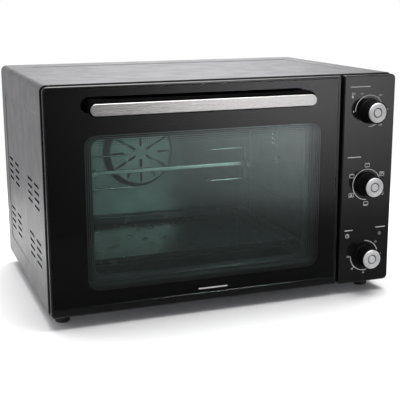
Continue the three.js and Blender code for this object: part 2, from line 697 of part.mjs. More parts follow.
function controlPanel() {
  const { left, right, top, wall, back } = PANEL;
  const outer = CORNER - EDGE;
  const outline = corneredRect(left, right, 0, top, [INNER_CORNER, outer, outer, INNER_CORNER]);
  const inner = outer - wall;
  const hollow = corneredRect(left + wall, right - wall, wall, top - wall, [1, inner, inner, 1]);
  const shafts = CONTROLS.map(({ z }) => rod('y', [KNOB_X, z], SHAFT.hole, -PAST, wall + PAST));
  const lens = rod('y', [LENS.x, LENS.z], LENS.radius + GAP, -PAST, wall + PAST);
  return cut(prism('y', outline, 0, back, 3), prism('y', hollow, wall, back + PAST), lens, ...shafts);
}

function knobBody(z) {
  const { base, front, cap, reach, bore } = KNOB;
  const seat = 2.6 - reach;
  const hollow = 8 - reach;
  const rim = cap + GAP;
  const profile = [
    [bore, seat], [rim, seat], [rim, -reach], [front - 1, -reach], [front, 1 - reach], [front + 0.6, -6],
    [base - 0.3, -4], [base, -0.8], [base - 3, -0.8], [front - 2.5, hollow], [6, hollow], [6, -1.5],
    [bore, -1.5], [bore, seat],
  ];
  return turned('y', [KNOB_X, z], profile, KNOB.sides);
}

function knobCap(z) {
  const { cap, reach, capReach } = KNOB;
  const { inner, outer, depth } = CAP_RING;
  const face = -capReach;
  const back = 2.3 - reach;
  const profile = [
    [0, face], [inner, face], [inner + 0.4, face + depth], [outer - 0.4, face + depth], [outer, face],
    [cap - 1.2, face], [cap, face + 1.2], [cap, back], [0, back],
  ];
  return turned('y', [KNOB_X, z], profile, KNOB.sides);
}

function knobShaft(z) {
  const { radius, front, back, flat, flatBack } = SHAFT;
  const round = rod('y', [KNOB_X, z], radius, front, back);
  return cut(round, box(KNOB_X - 5, KNOB_X + 5, front - PAST, flatBack, z + flat, z + 5));
}

const CONTROL_BACK = FRAME.back + GAP;

const CONTROL_BODIES = {
  thermostat: (z) => join(
    box(KNOB_X - 20, KNOB_X + 20, CONTROL_BACK, 33, z - 15, z + 15),
    rod('y', [KNOB_X, z], 14, 32, 42, 20),
  ),
  function_switch: (z) => rod('y', [KNOB_X, z], 21, CONTROL_BACK, 50, 8),
  timer: (z) => join(
    box(KNOB_X - 24, KNOB_X + 24, CONTROL_BACK, 40, z - 22, z + 22),
    turned('y', [KNOB_X, z], [[0, 39], [21, 39], [20, 48], [14, 52], [0, 53]], 20),
  ),
};

function controlBody(kind, z) {
  const bore = rod('y', [KNOB_X, z], SHAFT.radius + SHAFT.clearance, CONTROL_BACK - PAST, SHAFT.back + PAST);
  return cut(CONTROL_BODIES[kind](z), bore);
}

function indicatorLens() {
  const { x, z, radius } = LENS;
  const profile = [[0, -1.4], [1.8, -1.2], [3.2, -0.6], [3.2, -GAP], [radius, -GAP], [radius, 7], [0, 7]];
  return turned('y', [x, z], profile, 16);
}

function indicatorLamp() {
  return turned('y', [LENS.x, LENS.z], [[0, 7.5], [1.6, 8], [3, 9.5], [3, 30], [0, 30]], 12);
}

// ---------------------------------------------------------------- assembly

const oven = new THREE.Group();
const layout = new THREE.Group();
layout.position.set(-WIDTH / 2, -(BODY_DEPTH + GLAND_REACH - HANDLE_REACH) / 2, FOOT_HEIGHT);
oven.add(layout);

function place(name, body, look) {
  const mesh = new THREE.Mesh(geometryOf(body), new THREE.MeshStandardMaterial(LOOKS[look]));
  mesh.name = name;
  layout.add(mesh);
}

place('outer_casing', outerCasing(), 'blackPaint');
place('rear_cover', rearCover(), 'blackPaint');
place('base_plate', basePlate(), 'steel');
place('front_frame', frontFrame(), 'blackPaint');
place('heat_shield', heatShield(), 'steel');
place('cord_gland', cordGland(), 'blackRubber');
for (const [side, x] of [['left', FOOT.inset], ['right', WIDTH - FOOT.inset]]) {
  place(`foot_front_${side}`, foot(x, FOOT.front), 'blackRubber');
  place(`foot_rear_${side}`, foot(x, FOOT.back), 'blackRubber');
}

place('cavity_liner', cavityLiner(), 'liner');
place('rack_rail_left', rackRail(CAVITY.left, 1), 'liner');
place('rack_rail_right', rackRail(CAVITY.right, -1), 'liner');
for (const { name, y, z } of HEATERS) {
  place(name, heater(y, z), 'heater');
}
place('baking_tray', bakingTray(), 'enamel');
place('crumb_tray', crumbTray(), 'steel');
place('fan_guard', fanGuard(), 'liner');
place('convection_fan', convectionFan(), 'steel');
place('fan_motor', fanMotor(), 'steel');
place('oven_lamp', ovenLamp(), 'lampGlass');
place('lamp_cover', lampCover(), 'liner');

place('spit_motor', spitMotor(), 'steel');
place('spit_socket', spitSocket(), 'steel');
place('spit_rod', spitRod(), 'brushedSteel');
place('spit_support', spitSupport(), 'steel');
for (const { side, x, towards } of FORKS) {
  place(`spit_fork_${side}`, spitFork(x, towards), 'brushedSteel');
  place(`fork_screw_${side}`, forkScrew(x), 'brushedSteel');
}

place('door_frame', doorFrame(), 'blackPlastic');
place('door_glass', doorGlass(), 'glass');
place('door_inner_panel', doorInnerPanel(), 'steel');
place('inner_glass', innerGlass(), 'glass');
place('handle_bar', handleBar(), 'blackPlastic');
place('handle_trim', handleTrim(), 'brushedSteel');
for (const [side, x] of [['left', HINGE_EAR.columns[0]], ['right', HINGE_EAR.columns[1]]]) {
  place(`hinge_bracket_${side}`, hingeBracket(x), 'steel');
  place(`hinge_pin_${side}`, hingePin(x), 'steel');
}

place('control_panel', controlPanel(), 'blackPlastic');
for (const { knob, body, z } of CONTROLS) {
  place(body, controlBody(body, z), 'steel');
  place(`${knob}_shaft`, knobShaft(z), 'steel');
  place(`${knob}_knob`, knobBody(z), 'blackPlastic');
  place(`${knob}_knob_cap`, knobCap(z), 'brushedSteel');
}
place('indicator_lens', indicatorLens(), 'clearPlastic');
place('indicator_lamp', indicatorLamp(), 'lampGlass');

export default oven;
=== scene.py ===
from math import cos, pi, radians, sin

import bmesh
import bpy
from mathutils import Matrix, Vector


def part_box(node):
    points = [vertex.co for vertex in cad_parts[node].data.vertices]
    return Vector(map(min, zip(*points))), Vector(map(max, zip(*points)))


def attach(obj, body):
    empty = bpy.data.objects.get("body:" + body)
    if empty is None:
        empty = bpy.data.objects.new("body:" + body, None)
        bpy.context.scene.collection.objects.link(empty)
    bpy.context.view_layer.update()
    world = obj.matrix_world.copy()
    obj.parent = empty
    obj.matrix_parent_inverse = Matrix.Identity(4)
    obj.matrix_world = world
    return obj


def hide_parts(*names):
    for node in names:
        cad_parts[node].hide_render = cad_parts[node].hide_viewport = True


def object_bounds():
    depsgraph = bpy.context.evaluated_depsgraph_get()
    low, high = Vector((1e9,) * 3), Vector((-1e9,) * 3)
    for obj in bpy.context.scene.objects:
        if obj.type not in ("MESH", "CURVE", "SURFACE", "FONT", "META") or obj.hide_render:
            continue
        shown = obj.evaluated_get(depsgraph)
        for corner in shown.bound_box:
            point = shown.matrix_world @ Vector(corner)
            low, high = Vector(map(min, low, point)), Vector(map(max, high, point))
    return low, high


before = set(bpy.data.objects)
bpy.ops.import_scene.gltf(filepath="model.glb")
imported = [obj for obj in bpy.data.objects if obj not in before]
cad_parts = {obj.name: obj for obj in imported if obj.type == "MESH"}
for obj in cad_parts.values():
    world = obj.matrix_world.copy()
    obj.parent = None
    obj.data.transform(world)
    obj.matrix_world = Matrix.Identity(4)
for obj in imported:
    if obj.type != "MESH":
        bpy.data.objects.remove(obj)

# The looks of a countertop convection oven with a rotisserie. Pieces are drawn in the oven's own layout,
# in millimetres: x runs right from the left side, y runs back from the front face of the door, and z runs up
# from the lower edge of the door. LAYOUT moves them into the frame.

MM = 0.001
CAD_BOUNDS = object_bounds()
ORIGIN = Vector((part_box("outer_casing")[0].x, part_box("door_frame")[0].y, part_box("outer_casing")[0].z))
LAYOUT = Matrix.Translation(ORIGIN) @ Matrix.Scale(MM, 4)
FULL_TURN = 2 * pi
PAST = 1.0

SHEET = 1.2
CORNER = 10.0
EDGE = 2.0
GAP = 0.3


def span(node):
    """The lowest and highest corners of a CAD node, in the layout."""
    low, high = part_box(node)
    return (low - ORIGIN) / MM, (high - ORIGIN) / MM


def face(node, axis="y"):
    """The rectangle (a0, a1, b0, b1) that a CAD node fills across an axis."""
    low, high = span(node)
    a, b = {"x": "yz", "y": "xz", "z": "xy"}[axis]
    return (getattr(low, a), getattr(high, a), getattr(low, b), getattr(high, b))


def middle(node, axis="y"):
    """The centre of a CAD node, across an axis."""
    a0, a1, b0, b1 = face(node, axis)
    return ((a0 + a1) / 2, (b0 + b1) / 2)


# ---- outlines and meshes

def arc(centre, radius, start, end, steps):
    """Points on an arc, from start to end in degrees."""
    angles = [radians(start + (end - start) * i / steps) for i in range(steps + 1)]
    return [(centre[0] + radius * cos(a), centre[1] + radius * sin(a)) for a in angles]


def rounded_rect(rect, radii, steps=8):
    """A rectangle. Its radii go from the lower left to the lower right, the upper right and the upper left."""
    x0, x1, y0, y1 = rect
    r0, r1, r2, r3 = [max(r, 0.02) for r in shrink(radii, 0)]
    return (
        arc((x0 + r0, y0 + r0), r0, 180, 270, steps)
        + arc((x1 - r1, y0 + r1), r1, 270, 360, steps)
        + arc((x1 - r2, y1 - r2), r2, 0, 90, steps)
        + arc((x0 + r3, y1 - r3), r3, 90, 180, steps)
    )


def around(centre, width, height):
    """The rectangle of a size about a centre."""
    a, b = centre
    return (a - width / 2, a + width / 2, b - height / 2, b + height / 2)


def inset(rect, distance):
    x0, x1, y0, y1 = rect
    return (x0 + distance, x1 - distance, y0 + distance, y1 - distance)


def shrink(radii, distance):
    return [r - distance for r in (radii if isinstance(radii, (list, tuple)) else [radii] * 4)]


def fillet(points, radius, steps=4):
    """A line of points with its corners rounded, also where it starts if it ends there too."""
    closed = points[0] == points[-1]
    line = [points[-2]] + list(points) if closed else list(points)
    rounded = [] if closed else [points[0]]
    for before, corner, after in zip(line, line[1:], line[2:]):
        c = Vector(corner)
        back = Vector(before) - c
        ahead = Vector(after) - c
        reach = min(radius, back.length * 0.45, ahead.length * 0.45)
        start = c + back.normalized() * reach
        end = c + ahead.normalized() * reach
        for i in range(steps + 1):
            t = i / steps
            rounded.append(tuple(start * (1 - t) ** 2 + c * 2 * t * (1 - t) + end * t * t))
    rounded.append(rounded[0] if closed else points[-1])
    return rounded


def point(axis, level, a, b):
    """A point of an outline drawn across an axis: (y, z) across x, (x, z) across y and (x, y) across z."""
    return {"x": (level, a, b), "y": (a, level, b), "z": (a, b, level)}[axis]


def skin(bm, axis, rings, closed=False):
    """Adds a surface through rings, each (level, outline): joined end to start, or with both ends filled."""
    rows = [[bm.verts.new(point(axis, level, a, b)) for a, b in outline] for level, outline in rings]
    pairs = list(zip(rows, rows[1:]))
    if closed:
        pairs.append((rows[-1], rows[0]))
    else:
        bm.faces.new(rows[0])
        bm.faces.new(rows[-1])
    for near, far in pairs:
        for i in range(len(near)):
            bm.faces.new((near[i - 1], near[i], far[i], far[i - 1]))


def loft(axis, rings, closed=False):
    """A closed mesh through rings, each (level, outline)."""
    bm = bmesh.new()
    skin(bm, axis, rings, closed)
    bmesh.ops.remove_doubles(bm, verts=bm.verts, dist=1e-4)
    bmesh.ops.recalc_face_normals(bm, faces=bm.faces)
    return bm


def stack(axis, rings, closed=False, steps=8):
    """A loft through rounded rectangles, each (level, rectangle, radii)."""
    return loft(axis, [(level, rounded_rect(rect, radii, steps)) for level, rect, radii in rings], closed)


def slab(axis, rect, radii, near, far, near_edge=0.0, far_edge=0.0, steps=8, edge_steps=4):
    """A rounded rectangle between two levels, with its edges at either end rounded off."""
    rings = []
    for edge, level, way in ((near_edge, near, 1), (far_edge, far, -1)):
        turns = [radians(90 * i / edge_steps) for i in range(edge_steps + 1)] if edge else [pi / 2]
        part = []
        for turn in turns:
            d = edge * (1 - sin(turn))
            part.append((level + way * edge * (1 - cos(turn)), inset(rect, d), shrink(radii, d)))
        rings += part[::way]
    return stack(axis, rings, steps=steps)


def block(x0, x1, y0, y1, z0, z1):
    outline = [(x0, y0), (x1, y0), (x1, y1), (x0, y1)]
    return loft("z", [(z0, outline), (z1, outline)])


def lathe(axis, centre, profile, segments=64):
    """A profile of (radius, level) points turned about an axis. It starts and ends on the axis, or closes."""
    bm = bmesh.new()
    closed = profile[0] == profile[-1]
    rows = []
    turns = [FULL_TURN * i / segments for i in range(segments)]
    for radius, level in profile[:-1] if closed else profile:
        if radius < 1e-6:
            rows.append([bm.verts.new(point(axis, level, *centre))] * segments)
        else:
            circle = [(centre[0] + radius * cos(t), centre[1] + radius * sin(t)) for t in turns]
            rows.append([bm.verts.new(point(axis, level, a, b)) for a, b in circle])
    pairs = list(zip(rows, rows[1:])) + ([(rows[-1], rows[0])] if closed else [])
    for near, far in pairs:
        for i in range(segments):
            corners = dict.fromkeys((near[i - 1], near[i], far[i], far[i - 1]))
            bm.faces.new(list(corners))
    bmesh.ops.recalc_face_normals(bm, faces=bm.faces)
    return bm


def cylinder(axis, centre, radius, near, far, segments=48, edge=0.0):
    """A cylinder between two levels, with its rims rounded off."""
    profile = [(0, near), (radius, near), (radius, far), (0, far)]
    return lathe(axis, centre, fillet(profile, edge) if edge else profile, segments)


def moved(bm, centre, turn=0.0, radius=0.0):
    """A mesh moved up by radius, turned about y in radians, and moved to a point across y."""
    place = Matrix.Translation((centre[0], 0, centre[1]))
    bm.transform(place @ Matrix.Rotation(turn, 4, "Y") @ Matrix.Translation((0, 0, radius)))
    return bm


def merged(meshes):
    """Several meshes as one."""
    whole = bmesh.new()
    for bm in meshes:
        part = bpy.data.meshes.new("part")
        bm.to_mesh(part)
        bm.free()
        whole.from_mesh(part)
        bpy.data.meshes.remove(part)
    return whole


def smooth(mesh, sharp=35):
    """Smooth shading, except at edges sharper than an angle in degrees."""
    mesh.shade_smooth()
    mesh.set_sharp_from_angle(angle=radians(sharp))


def place_in_scene(name, data):
    obj = bpy.data.objects.new(name, data)
    bpy.context.scene.collection.objects.link(obj)
    return obj


def make(name, bm, sharp=35):
    """An object of a mesh drawn in the layout."""
    mesh = bpy.data.meshes.new(name)
    bm.transform(LAYOUT)
    bm.to_mesh(mesh)
    bm.free()
    smooth(mesh, sharp)
    return place_in_scene(name, mesh)


def apply_modifiers(obj):
    depsgraph = bpy.context.evaluated_depsgraph_get()
    obj.data = bpy.data.meshes.new_from_object(obj.evaluated_get(depsgraph))
    obj.modifiers.clear()
    smooth(obj.data)


def combine(obj, tool, operation="DIFFERENCE"):
    """Cuts a mesh or an object out of an object, or joins it to the object, and uses it up."""
    if isinstance(tool, bmesh.types.BMesh):
        tool = make("tool", tool)
    modifier = obj.modifiers.new("combine", "BOOLEAN")
    modifier.operation = operation
    modifier.solver = "MANIFOLD"
    modifier.object = tool
    apply_modifiers(obj)
    bpy.data.objects.remove(tool)


def soften(obj, width, segments=2, angle=40):
    """Rounds an object's sharp edges, with a width in millimetres."""
    bevel = obj.modifiers.new("edges", "BEVEL")
    bevel.width = width * MM
    bevel.segments = segments
    bevel.limit_method = "ANGLE"
    bevel.angle_limit = radians(angle)
    bevel.harden_normals = True


def recentre(obj, centre):
    """Moves an object's origin to a point across y, so that its textures centre on it."""
    world = LAYOUT @ Vector((centre[0], 0, centre[1]))
    obj.data.transform(Matrix.Translation(-world))
    obj.location = world


def piece(obj, body, slot, material, *nodes):
    """Sets up an object: the body it rides on, its finish, and the CAD nodes that it stands for, which it
    hides.
    """
    obj.data.materials.clear()
    obj.data.materials.append(material)
    normals = obj.modifiers.new("normals", "WEIGHTED_NORMAL")
    normals.keep_sharp = True
    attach(obj, body)
    if nodes:
        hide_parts(*nodes)
    return obj


# ---- materials

class Graph:
    """A node tree whose nodes are added one by one."""

    def __init__(self, tree):
        self.nodes = tree.nodes
        self.links = tree.links

    def feed(self, socket, value):
        """Links an output to a socket, or sets the socket to a value."""
        if isinstance(value, bpy.types.NodeSocket):
            self.links.new(value, socket)
        else:
            socket.default_value = value

    def add(self, kind, values=(), **settings):
        """A node of a kind, with values for its inputs in their order, or by name or number."""
        node = self.nodes.new("ShaderNode" + kind)
        for name, value in settings.items():
            setattr(node, name, value)
        for key, value in values.items() if isinstance(values, dict) else enumerate(values):
            self.feed(node.inputs[key], value)
        return node

    def math(self, operation, *values):
        return self.add("Math", values, operation=operation).outputs[0]

    def scaled(self, value, low, high, from_low=0.3, from_high=0.7):
        """A smooth change from low to high, as a value goes over a range."""
        values = (value, from_low, from_high, low, high)
        return self.add("MapRange", values, interpolation_type="SMOOTHSTEP").outputs["Result"]


class Surface(Graph):
    """A material, with patterns in the space of its object."""

    def __init__(self, name, **values):
        self.material = bpy.data.materials.new(name)
        self.material.use_nodes = True
        super().__init__(self.material.node_tree)
        self.shader = next(n for n in self.nodes if n.type == "BSDF_PRINCIPLED")
        self.output = next(n for n in self.nodes if n.type == "OUTPUT_MATERIAL")
        self.place = self.add("TexCoord").outputs["Object"]
        for key, value in values.items():
            self.shader.inputs[key.replace("_", " ").title().replace("Ior", "IOR")].default_value = value

    def shade(self, name, value):
        """Feeds one of the shader's inputs."""
        self.feed(self.shader.inputs[name], value)

    def noise(self, size, stretch=(1, 1, 1), detail=3.0):
        """Noise with features of a size in millimetres, drawn out by stretch along each axis."""
        scale = [1 / (size * MM * s) for s in stretch]
        place = self.add("Mapping", {"Vector": self.place, "Scale": scale}).outputs["Vector"]
        values = {"Vector": place, "Scale": 1.0, "Detail": detail, "Roughness": 0.55}
        return self.add("TexNoise", values).outputs["Fac"]

    def cells(self, size, output="Distance"):
        """A Voronoi pattern with cells of a size in millimetres."""
        return self.add("TexVoronoi", {"Vector": self.place, "Scale": 1 / (size * MM)}).outputs[output]

    def colours(self, value, low, high, from_low=0.3, from_high=0.7):
        """A colour that goes from low to high with a value."""
        ramp = self.add("ValToRGB", (value,))
        for stop, position, colour in zip(ramp.color_ramp.elements, (from_low, from_high), (low, high)):
            stop.position = position
            stop.color = (*colour, 1)
        self.shade("Base Color", ramp.outputs["Color"])

    def roughness(self, value, low, high):
        self.shade("Roughness", self.scaled(value, low, high))

    def bump(self, value, height, strength=1.0):
        """Relief with a height in millimetres."""
        bump = self.add("Bump", {"Height": value, "Distance": height * MM, "Strength": strength})
        self.shade("Normal", bump.outputs["Normal"])

    def lets_lamps_through(self, tint):
        """Lets the rays of lamps straight through glass, so that what is behind it is lit."""
        lamp_ray = self.add("LightPath").outputs["Is Shadow Ray"]
        clear = self.add("BsdfTransparent", {"Color": (*tint, 1)}).outputs["BSDF"]
        mix = self.add("MixShader", (lamp_ray, self.shader.outputs["BSDF"], clear))
        self.feed(self.output.inputs["Surface"], mix.outputs["Shader"])


def grey(level, blue=1.0):
    return (level, level, level * blue)


def shades(colour, low, high):
    """A darker and a lighter shade of a colour."""
    return [c * low for c in colour], [min(1, c * high) for c in colour]


def finish(name, tone, colours, gloss, rough, relief, height, **values):
    """A finish whose colour, roughness and relief each follow a noise. tone, gloss and relief say which."""
    s = Surface(name, **values)
    s.colours(s.noise(*tone), *colours)
    s.roughness(s.noise(*gloss), *rough)
    s.bump(s.noise(*relief), height)
    return s.material


EVEN = (1, 1, 1)


def painted_steel(name, level, rough):
    """Baked paint: a faint orange peel, with the gloss changing slowly over the sheet."""
    colours = (grey(level * 0.92), grey(level * 1.08, 1.02))
    return finish(name, (60,), colours, (35,), (rough - 0.03, rough + 0.03), (1.4, EVEN, 2), 0.004)


def moulded_plastic(name, level, rough, grain=0.002, shine=0.5):
    """Moulded plastic with a faint grain and slow flow marks."""
    colours = (grey(level * 0.9), grey(level * 1.1, 1.03))
    gloss = (rough * 0.85, rough * 1.15)
    return finish(name, (45,), colours, (25,), gloss, (0.9, EVEN, 2), grain, specular_ior_level=shine)


def sheet_metal(name, colour, rough, stretch=EVEN, relief=0.004):
    """Rolled sheet: streaks along the way it was rolled, and slow changes of tone."""
    streaks = (0.6, stretch)
    gloss = (rough - 0.06, rough + 0.08)
    return finish(name, (40,), shades(colour, 0.88, 1.08), streaks, gloss, streaks, relief, metallic=1.0)


def printed(name, level, rough=0.45, shine=0.5):
    """Screen-printed ink, with its cover a little uneven."""
    colours = (grey(level * 0.85), grey(level))
    gloss = (rough - 0.08, rough + 0.08)
    return finish(name, (0.5,), colours, (1.5,), gloss, (0.4,), 0.003, specular_ior_level=shine)


def spangled_steel(name, colour):
    """Zinc-plated sheet with its faint crystal pattern."""
    s = Surface(name, metallic=1.0)
    s.colours(s.cells(7, "Color"), *shades(colour, 0.85, 1.1))
    s.roughness(s.cells(7, "Color"), 0.32, 0.45)
    s.bump(s.noise(0.8), 0.003)
    return s.material


def brushed_along_x(name, colour, rough):
    """Steel brushed along x."""
    s = Surface(name, metallic=1.0, anisotropic=0.85, anisotropic_rotation=0.25)
    s.shade("Tangent", s.add("CombineXYZ", {"X": 1.0}).outputs["Vector"])
    strokes = s.noise(0.16, (160, 1, 1), detail=2)
    s.colours(strokes, *shades(colour, 0.9, 1.06))
    s.roughness(strokes, rough - 0.05, rough + 0.05)
    s.bump(strokes, 0.004)
    return s.material


def spun_metal(name, colour, rough, groove_shade):
    """Metal turned on a lathe about y, with fine rings, and painted shade in its groove: the colour is
    darkened between two radii, where the groove is shaded.
    """
    s = Surface(name, metallic=0.7, anisotropic=0.4, anisotropic_rotation=0.25)
    values = {"Vector": s.place, "Scale": 900, "Distortion": 0.6}
    rings = s.add("TexWave", values, wave_type="RINGS", rings_direction="Y").outputs["Fac"]
    across = s.add("VectorMath", (s.place, (1, 0, 1)), operation="MULTIPLY").outputs["Vector"]
    radius = s.add("VectorMath", (across,), operation="LENGTH").outputs["Value"]
    soft = 0.2
    # Painted shade: the colour goes dark between the two radii of the cap's groove, standing in for the
    # groove's shade.
    inside = s.scaled(radius, 1, 0, (groove_shade[0] - soft) * MM, (groove_shade[0] + soft) * MM)
    outside = s.scaled(radius, 0, 1, (groove_shade[1] - soft) * MM, (groove_shade[1] + soft) * MM)
    tone = s.math("MULTIPLY", s.math("MAXIMUM", inside, outside), s.scaled(s.noise(6), 0.88, 1.0))
    s.colours(tone, [c * 0.08 for c in colour], colour, 0.0, 1.0)
    s.roughness(rings, rough - 0.04, rough + 0.06)
    s.bump(rings, 0.006)
    tangent = s.add("Tangent", direction_type="RADIAL", axis="Y")
    s.shade("Tangent", tangent.outputs["Tangent"])
    return s.material


def enamel(name):
    """Dark vitreous enamel with pale specks."""
    s = Surface(name)
    specks = s.scaled(s.cells(1.6), 1.0, 0.0, 0.08, 0.2)
    s.colours(specks, (0.022, 0.027, 0.028), (0.14, 0.15, 0.15), 0.4, 0.9)
    s.roughness(s.noise(18), 0.16, 0.28)
    s.bump(s.noise(2.5, detail=2), 0.02)
    return s.material


def pane(name, tint, lamp_tint):
    """Float glass: a faint tint, and a face that is not quite flat."""
    s = Surface(name, base_color=(*tint, 1), roughness=0.0, transmission_weight=1.0, ior=1.5)
    s.bump(s.noise(70, detail=1), 0.01, 0.3)
    s.lets_lamps_through(lamp_tint)
    return s.material


def glowing_glass(name, colour, strength):
    """A lit bulb: the glass glows, with its colour and brightness changing a little across it."""
    s = Surface(name, roughness=0.25, emission_color=(*colour, 1))
    s.colours(s.noise(8), [c * 0.9 for c in colour], colour)
    s.shade("Emission Strength", s.scaled(s.noise(6), strength * 0.8, strength))
    return s.material


CASING_PAINT = painted_steel("casing_paint", 0.045, 0.36)
FRAME_PAINT = painted_steel("frame_paint", 0.02, 0.4)
GLOSS_BLACK = moulded_plastic("gloss_black", 0.008, 0.1, 0.001)
KNOB_BLACK = moulded_plastic("knob_black", 0.004, 0.45, shine=0.06)
HANDLE_BLACK = moulded_plastic("handle_black", 0.003, 0.5, shine=0.0)
LINER = sheet_metal("aluminised_steel", (0.5, 0.55, 0.54), 0.34, (1, 1, 14))
RAIL_STEEL = sheet_metal("rail_steel", (0.5, 0.53, 0.52), 0.3, (1, 12, 1))
INNER_PANEL = painted_steel("inner_panel_grey", 0.09, 0.35)
ZINC = spangled_steel("zinc_steel", (0.5, 0.52, 0.53))
BRUSHED = brushed_along_x("brushed_steel", (0.62, 0.61, 0.595), 0.26)
# The two radii (6.4, 8.0) bound the painted shade in the knob cap's groove.
SPUN = spun_metal("spun_aluminium", (1.0, 1.0, 1.0), 0.55, (6.4, 8.0))
CHROME = sheet_metal("chrome", (0.7, 0.71, 0.7), 0.16, (12, 1, 1), relief=0.002)
PIN_STEEL = sheet_metal("pin_steel", (0.6, 0.6, 0.6), 0.3, (8, 1, 1))
MOTOR_STEEL = sheet_metal("motor_steel", (0.35, 0.35, 0.36), 0.42, (1, 6, 1))
FAN_METAL = sheet_metal("fan_aluminium", (0.6, 0.6, 0.6), 0.38)
CRUMB_METAL = sheet_metal("crumb_tray_aluminium", (0.5, 0.52, 0.52), 0.36, (16, 1, 1))
ENAMEL = enamel("tray_enamel")
HEATER_METAL = finish(
    "heater_sheath", (22, (2.5, 1, 1)), ((0.1, 0.09, 0.085), (0.24, 0.24, 0.25)),
    (5,), (0.36, 0.55), (0.7,), 0.006, metallic=0.85,
)
RUBBER = finish("black_rubber", (6,), (grey(0.016), grey(0.025)), (3,), (0.62, 0.8), (0.5,), 0.02)
DOOR_GLASS = pane("door_glass", (0.78, 0.92, 0.88), (0.42, 0.48, 0.465))
INNER_GLASS = pane("inner_glass", (0.86, 0.95, 0.92), (0.55, 0.6, 0.585))
LAMP_GLASS = glowing_glass("lamp_glass", (1.0, 0.93, 0.8), 2.5)
LENS = moulded_plastic("lens", 0.14, 0.14)
BLACK_INK = printed("black_ceramic_ink", 0.003, 0.6, 0.0)
PALE_INK = printed("pale_ink", 0.75)
PHENOLIC = finish(
    "cream_phenolic", (4,), ((0.62, 0.56, 0.44), (0.72, 0.67, 0.56)), (3,), (0.4, 0.55), (0.6,), 0.01,
)


# ---- casing and covers

SIDE_PANEL = {"rect": (46, 365, 40, 312), "corner": 14, "depth": 1.0, "slope": 3.5}
TOP_PANEL = {"rect": (42, 548, 57, 345), "corner": 14, "depth": 1.0, "slope": 3.5}
SIDE_VENT = {
    "size": (40, 4.4), "columns": (77, 137, 268, 332), "first": (195, 103), "rows": 4, "pitch": -11.8,
}
UNDERSIDE_FLANGE = 14


def pressing(axis, panel, wall, inward, grow=0.0):
    """A shallow pressed panel with sloped sides, as the solid that it leaves out of a wall."""
    rings = [(wall - inward * PAST, 0.0)]
    for i in range(7):
        share = i / 6
        eased = share * share * (3 - 2 * share)
        rings.append((wall + inward * panel["depth"] * eased, panel["slope"] * share))
    rings = [(level, inset(panel["rect"], d - grow), panel["corner"] - d + grow) for level, d in rings]
    return stack(axis, rings, steps=6)


def pressings(depth, width, height):
    """The pressed panels of both sides and the top, at a depth in the sheet."""
    return merged([
        pressing("x", SIDE_PANEL, depth, 1, depth),
        pressing("x", SIDE_PANEL, width - depth, -1, depth),
        pressing("z", TOP_PANEL, height - depth, -1, depth),
    ])


def slots(vent, axis, near, far, steps):
    """The rows of round-ended slots of a vent, as one mesh."""
    length, height = vent["size"]
    meshes = []
    for first in vent["first"]:
        for column in vent["columns"]:
            for row in range(vent["rows"]):
                rect = around((column, first + row * vent["pitch"]), length, height)
                meshes.append(slab(axis, rect, height / 2, near, far, steps=steps))
    return merged(meshes)


def build_casing():
    low, high = span("outer_casing")
    outline = face("outer_casing")
    shell = make("casing_shell", slab("y", outline, CORNER, low.y, high.y, 0.4, 0.4, 12))
    combine(shell, pressings(0.0, high.x, high.z))
    inside = inset(outline, SHEET)
    hollow = make("hollow", slab("y", inside, CORNER - SHEET, low.y - PAST, high.y + PAST, steps=12))
    combine(hollow, pressings(SHEET, high.x, high.z))
    combine(shell, hollow)
    combine(shell, block(UNDERSIDE_FLANGE, high.x - UNDERSIDE_FLANGE, 0, high.y + PAST, -PAST, SHEET + PAST))
    combine(shell, slots(SIDE_VENT, "x", -PAST, 8, 4))
    combine(shell, slots(SIDE_VENT, "x", high.x - 8, high.x + PAST, 4))
    piece(shell, "oven", "casing_paint", CASING_PAINT, "outer_casing")


SCREW = {"radius": 3.2, "tall": 1.3, "slot": 0.62, "slot_half": 0.35}


def screw_head(name, centre, wall):
    """The domed head of a cross-head screw on the rear cover."""
    radius = SCREW["radius"]
    tall = SCREW["tall"]
    turns = [radians(10 * i) for i in range(9)]
    dome = [(radius * cos(t), wall + tall * sin(t)) for t in turns]
    head = make(name, lathe("y", centre, [(0, wall)] + dome + [(0, wall + tall)], 32))
    x, z = centre
    long = radius * SCREW["slot"]
    for a, b in ((SCREW["slot_half"], long), (long, SCREW["slot_half"])):
        combine(head, block(x - a, x + a, wall + tall * 0.45, wall + tall * 2, z - b, z + b))
    return head


REAR_DOME = (130, 360, 80, 300)
REAR_VENTS = (
    {"size": (60, 5), "columns": (205, 285), "first": (122.5,), "rows": 6, "pitch": 26},
    {"size": (90, 5), "columns": (515,), "first": (202.5,), "rows": 6, "pitch": 14},
)


def build_rear_cover():
    low, high = span("rear_cover")
    plate_back = low.y + SHEET
    cover = make("rear_plate", slab("y", face("rear_cover"), CORNER - 1.5, low.y, plate_back, 0, 0.3, 10))
    shoulder = 2.6
    root = plate_back - 0.6
    rings = []
    for i in range(7):
        turn = radians(15 * i)
        d = shoulder * (1 - cos(turn))
        rings.append((root + (high.y - root) * sin(turn), inset(REAR_DOME, d), 16 - d))
    combine(cover, stack("y", rings), "UNION")
    combine(cover, slab("y", inset(REAR_DOME, shoulder + SHEET), 12, low.y - PAST, high.y - SHEET))
    for vent in REAR_VENTS:
        combine(cover, slots(vent, "y", low.y - PAST, high.y + PAST, 5))
    combine(cover, cylinder("y", middle("cord_gland"), 6, low.y - PAST, high.y + PAST))
    soften(cover, 0.25)
    piece(cover, "oven", "casing_paint", CASING_PAINT, "rear_cover")
    margin = 12
    columns = (low.x + margin, (low.x + high.x) / 2, high.x - margin)
    places = [(x, z) for x in columns for z in (low.z + margin, high.z - margin)]
    for number, place in enumerate(places):
        head = screw_head(f"rear_screw_{number + 1}", place, plate_back - 0.2)
        piece(head, "oven", "zinc_steel", ZINC)


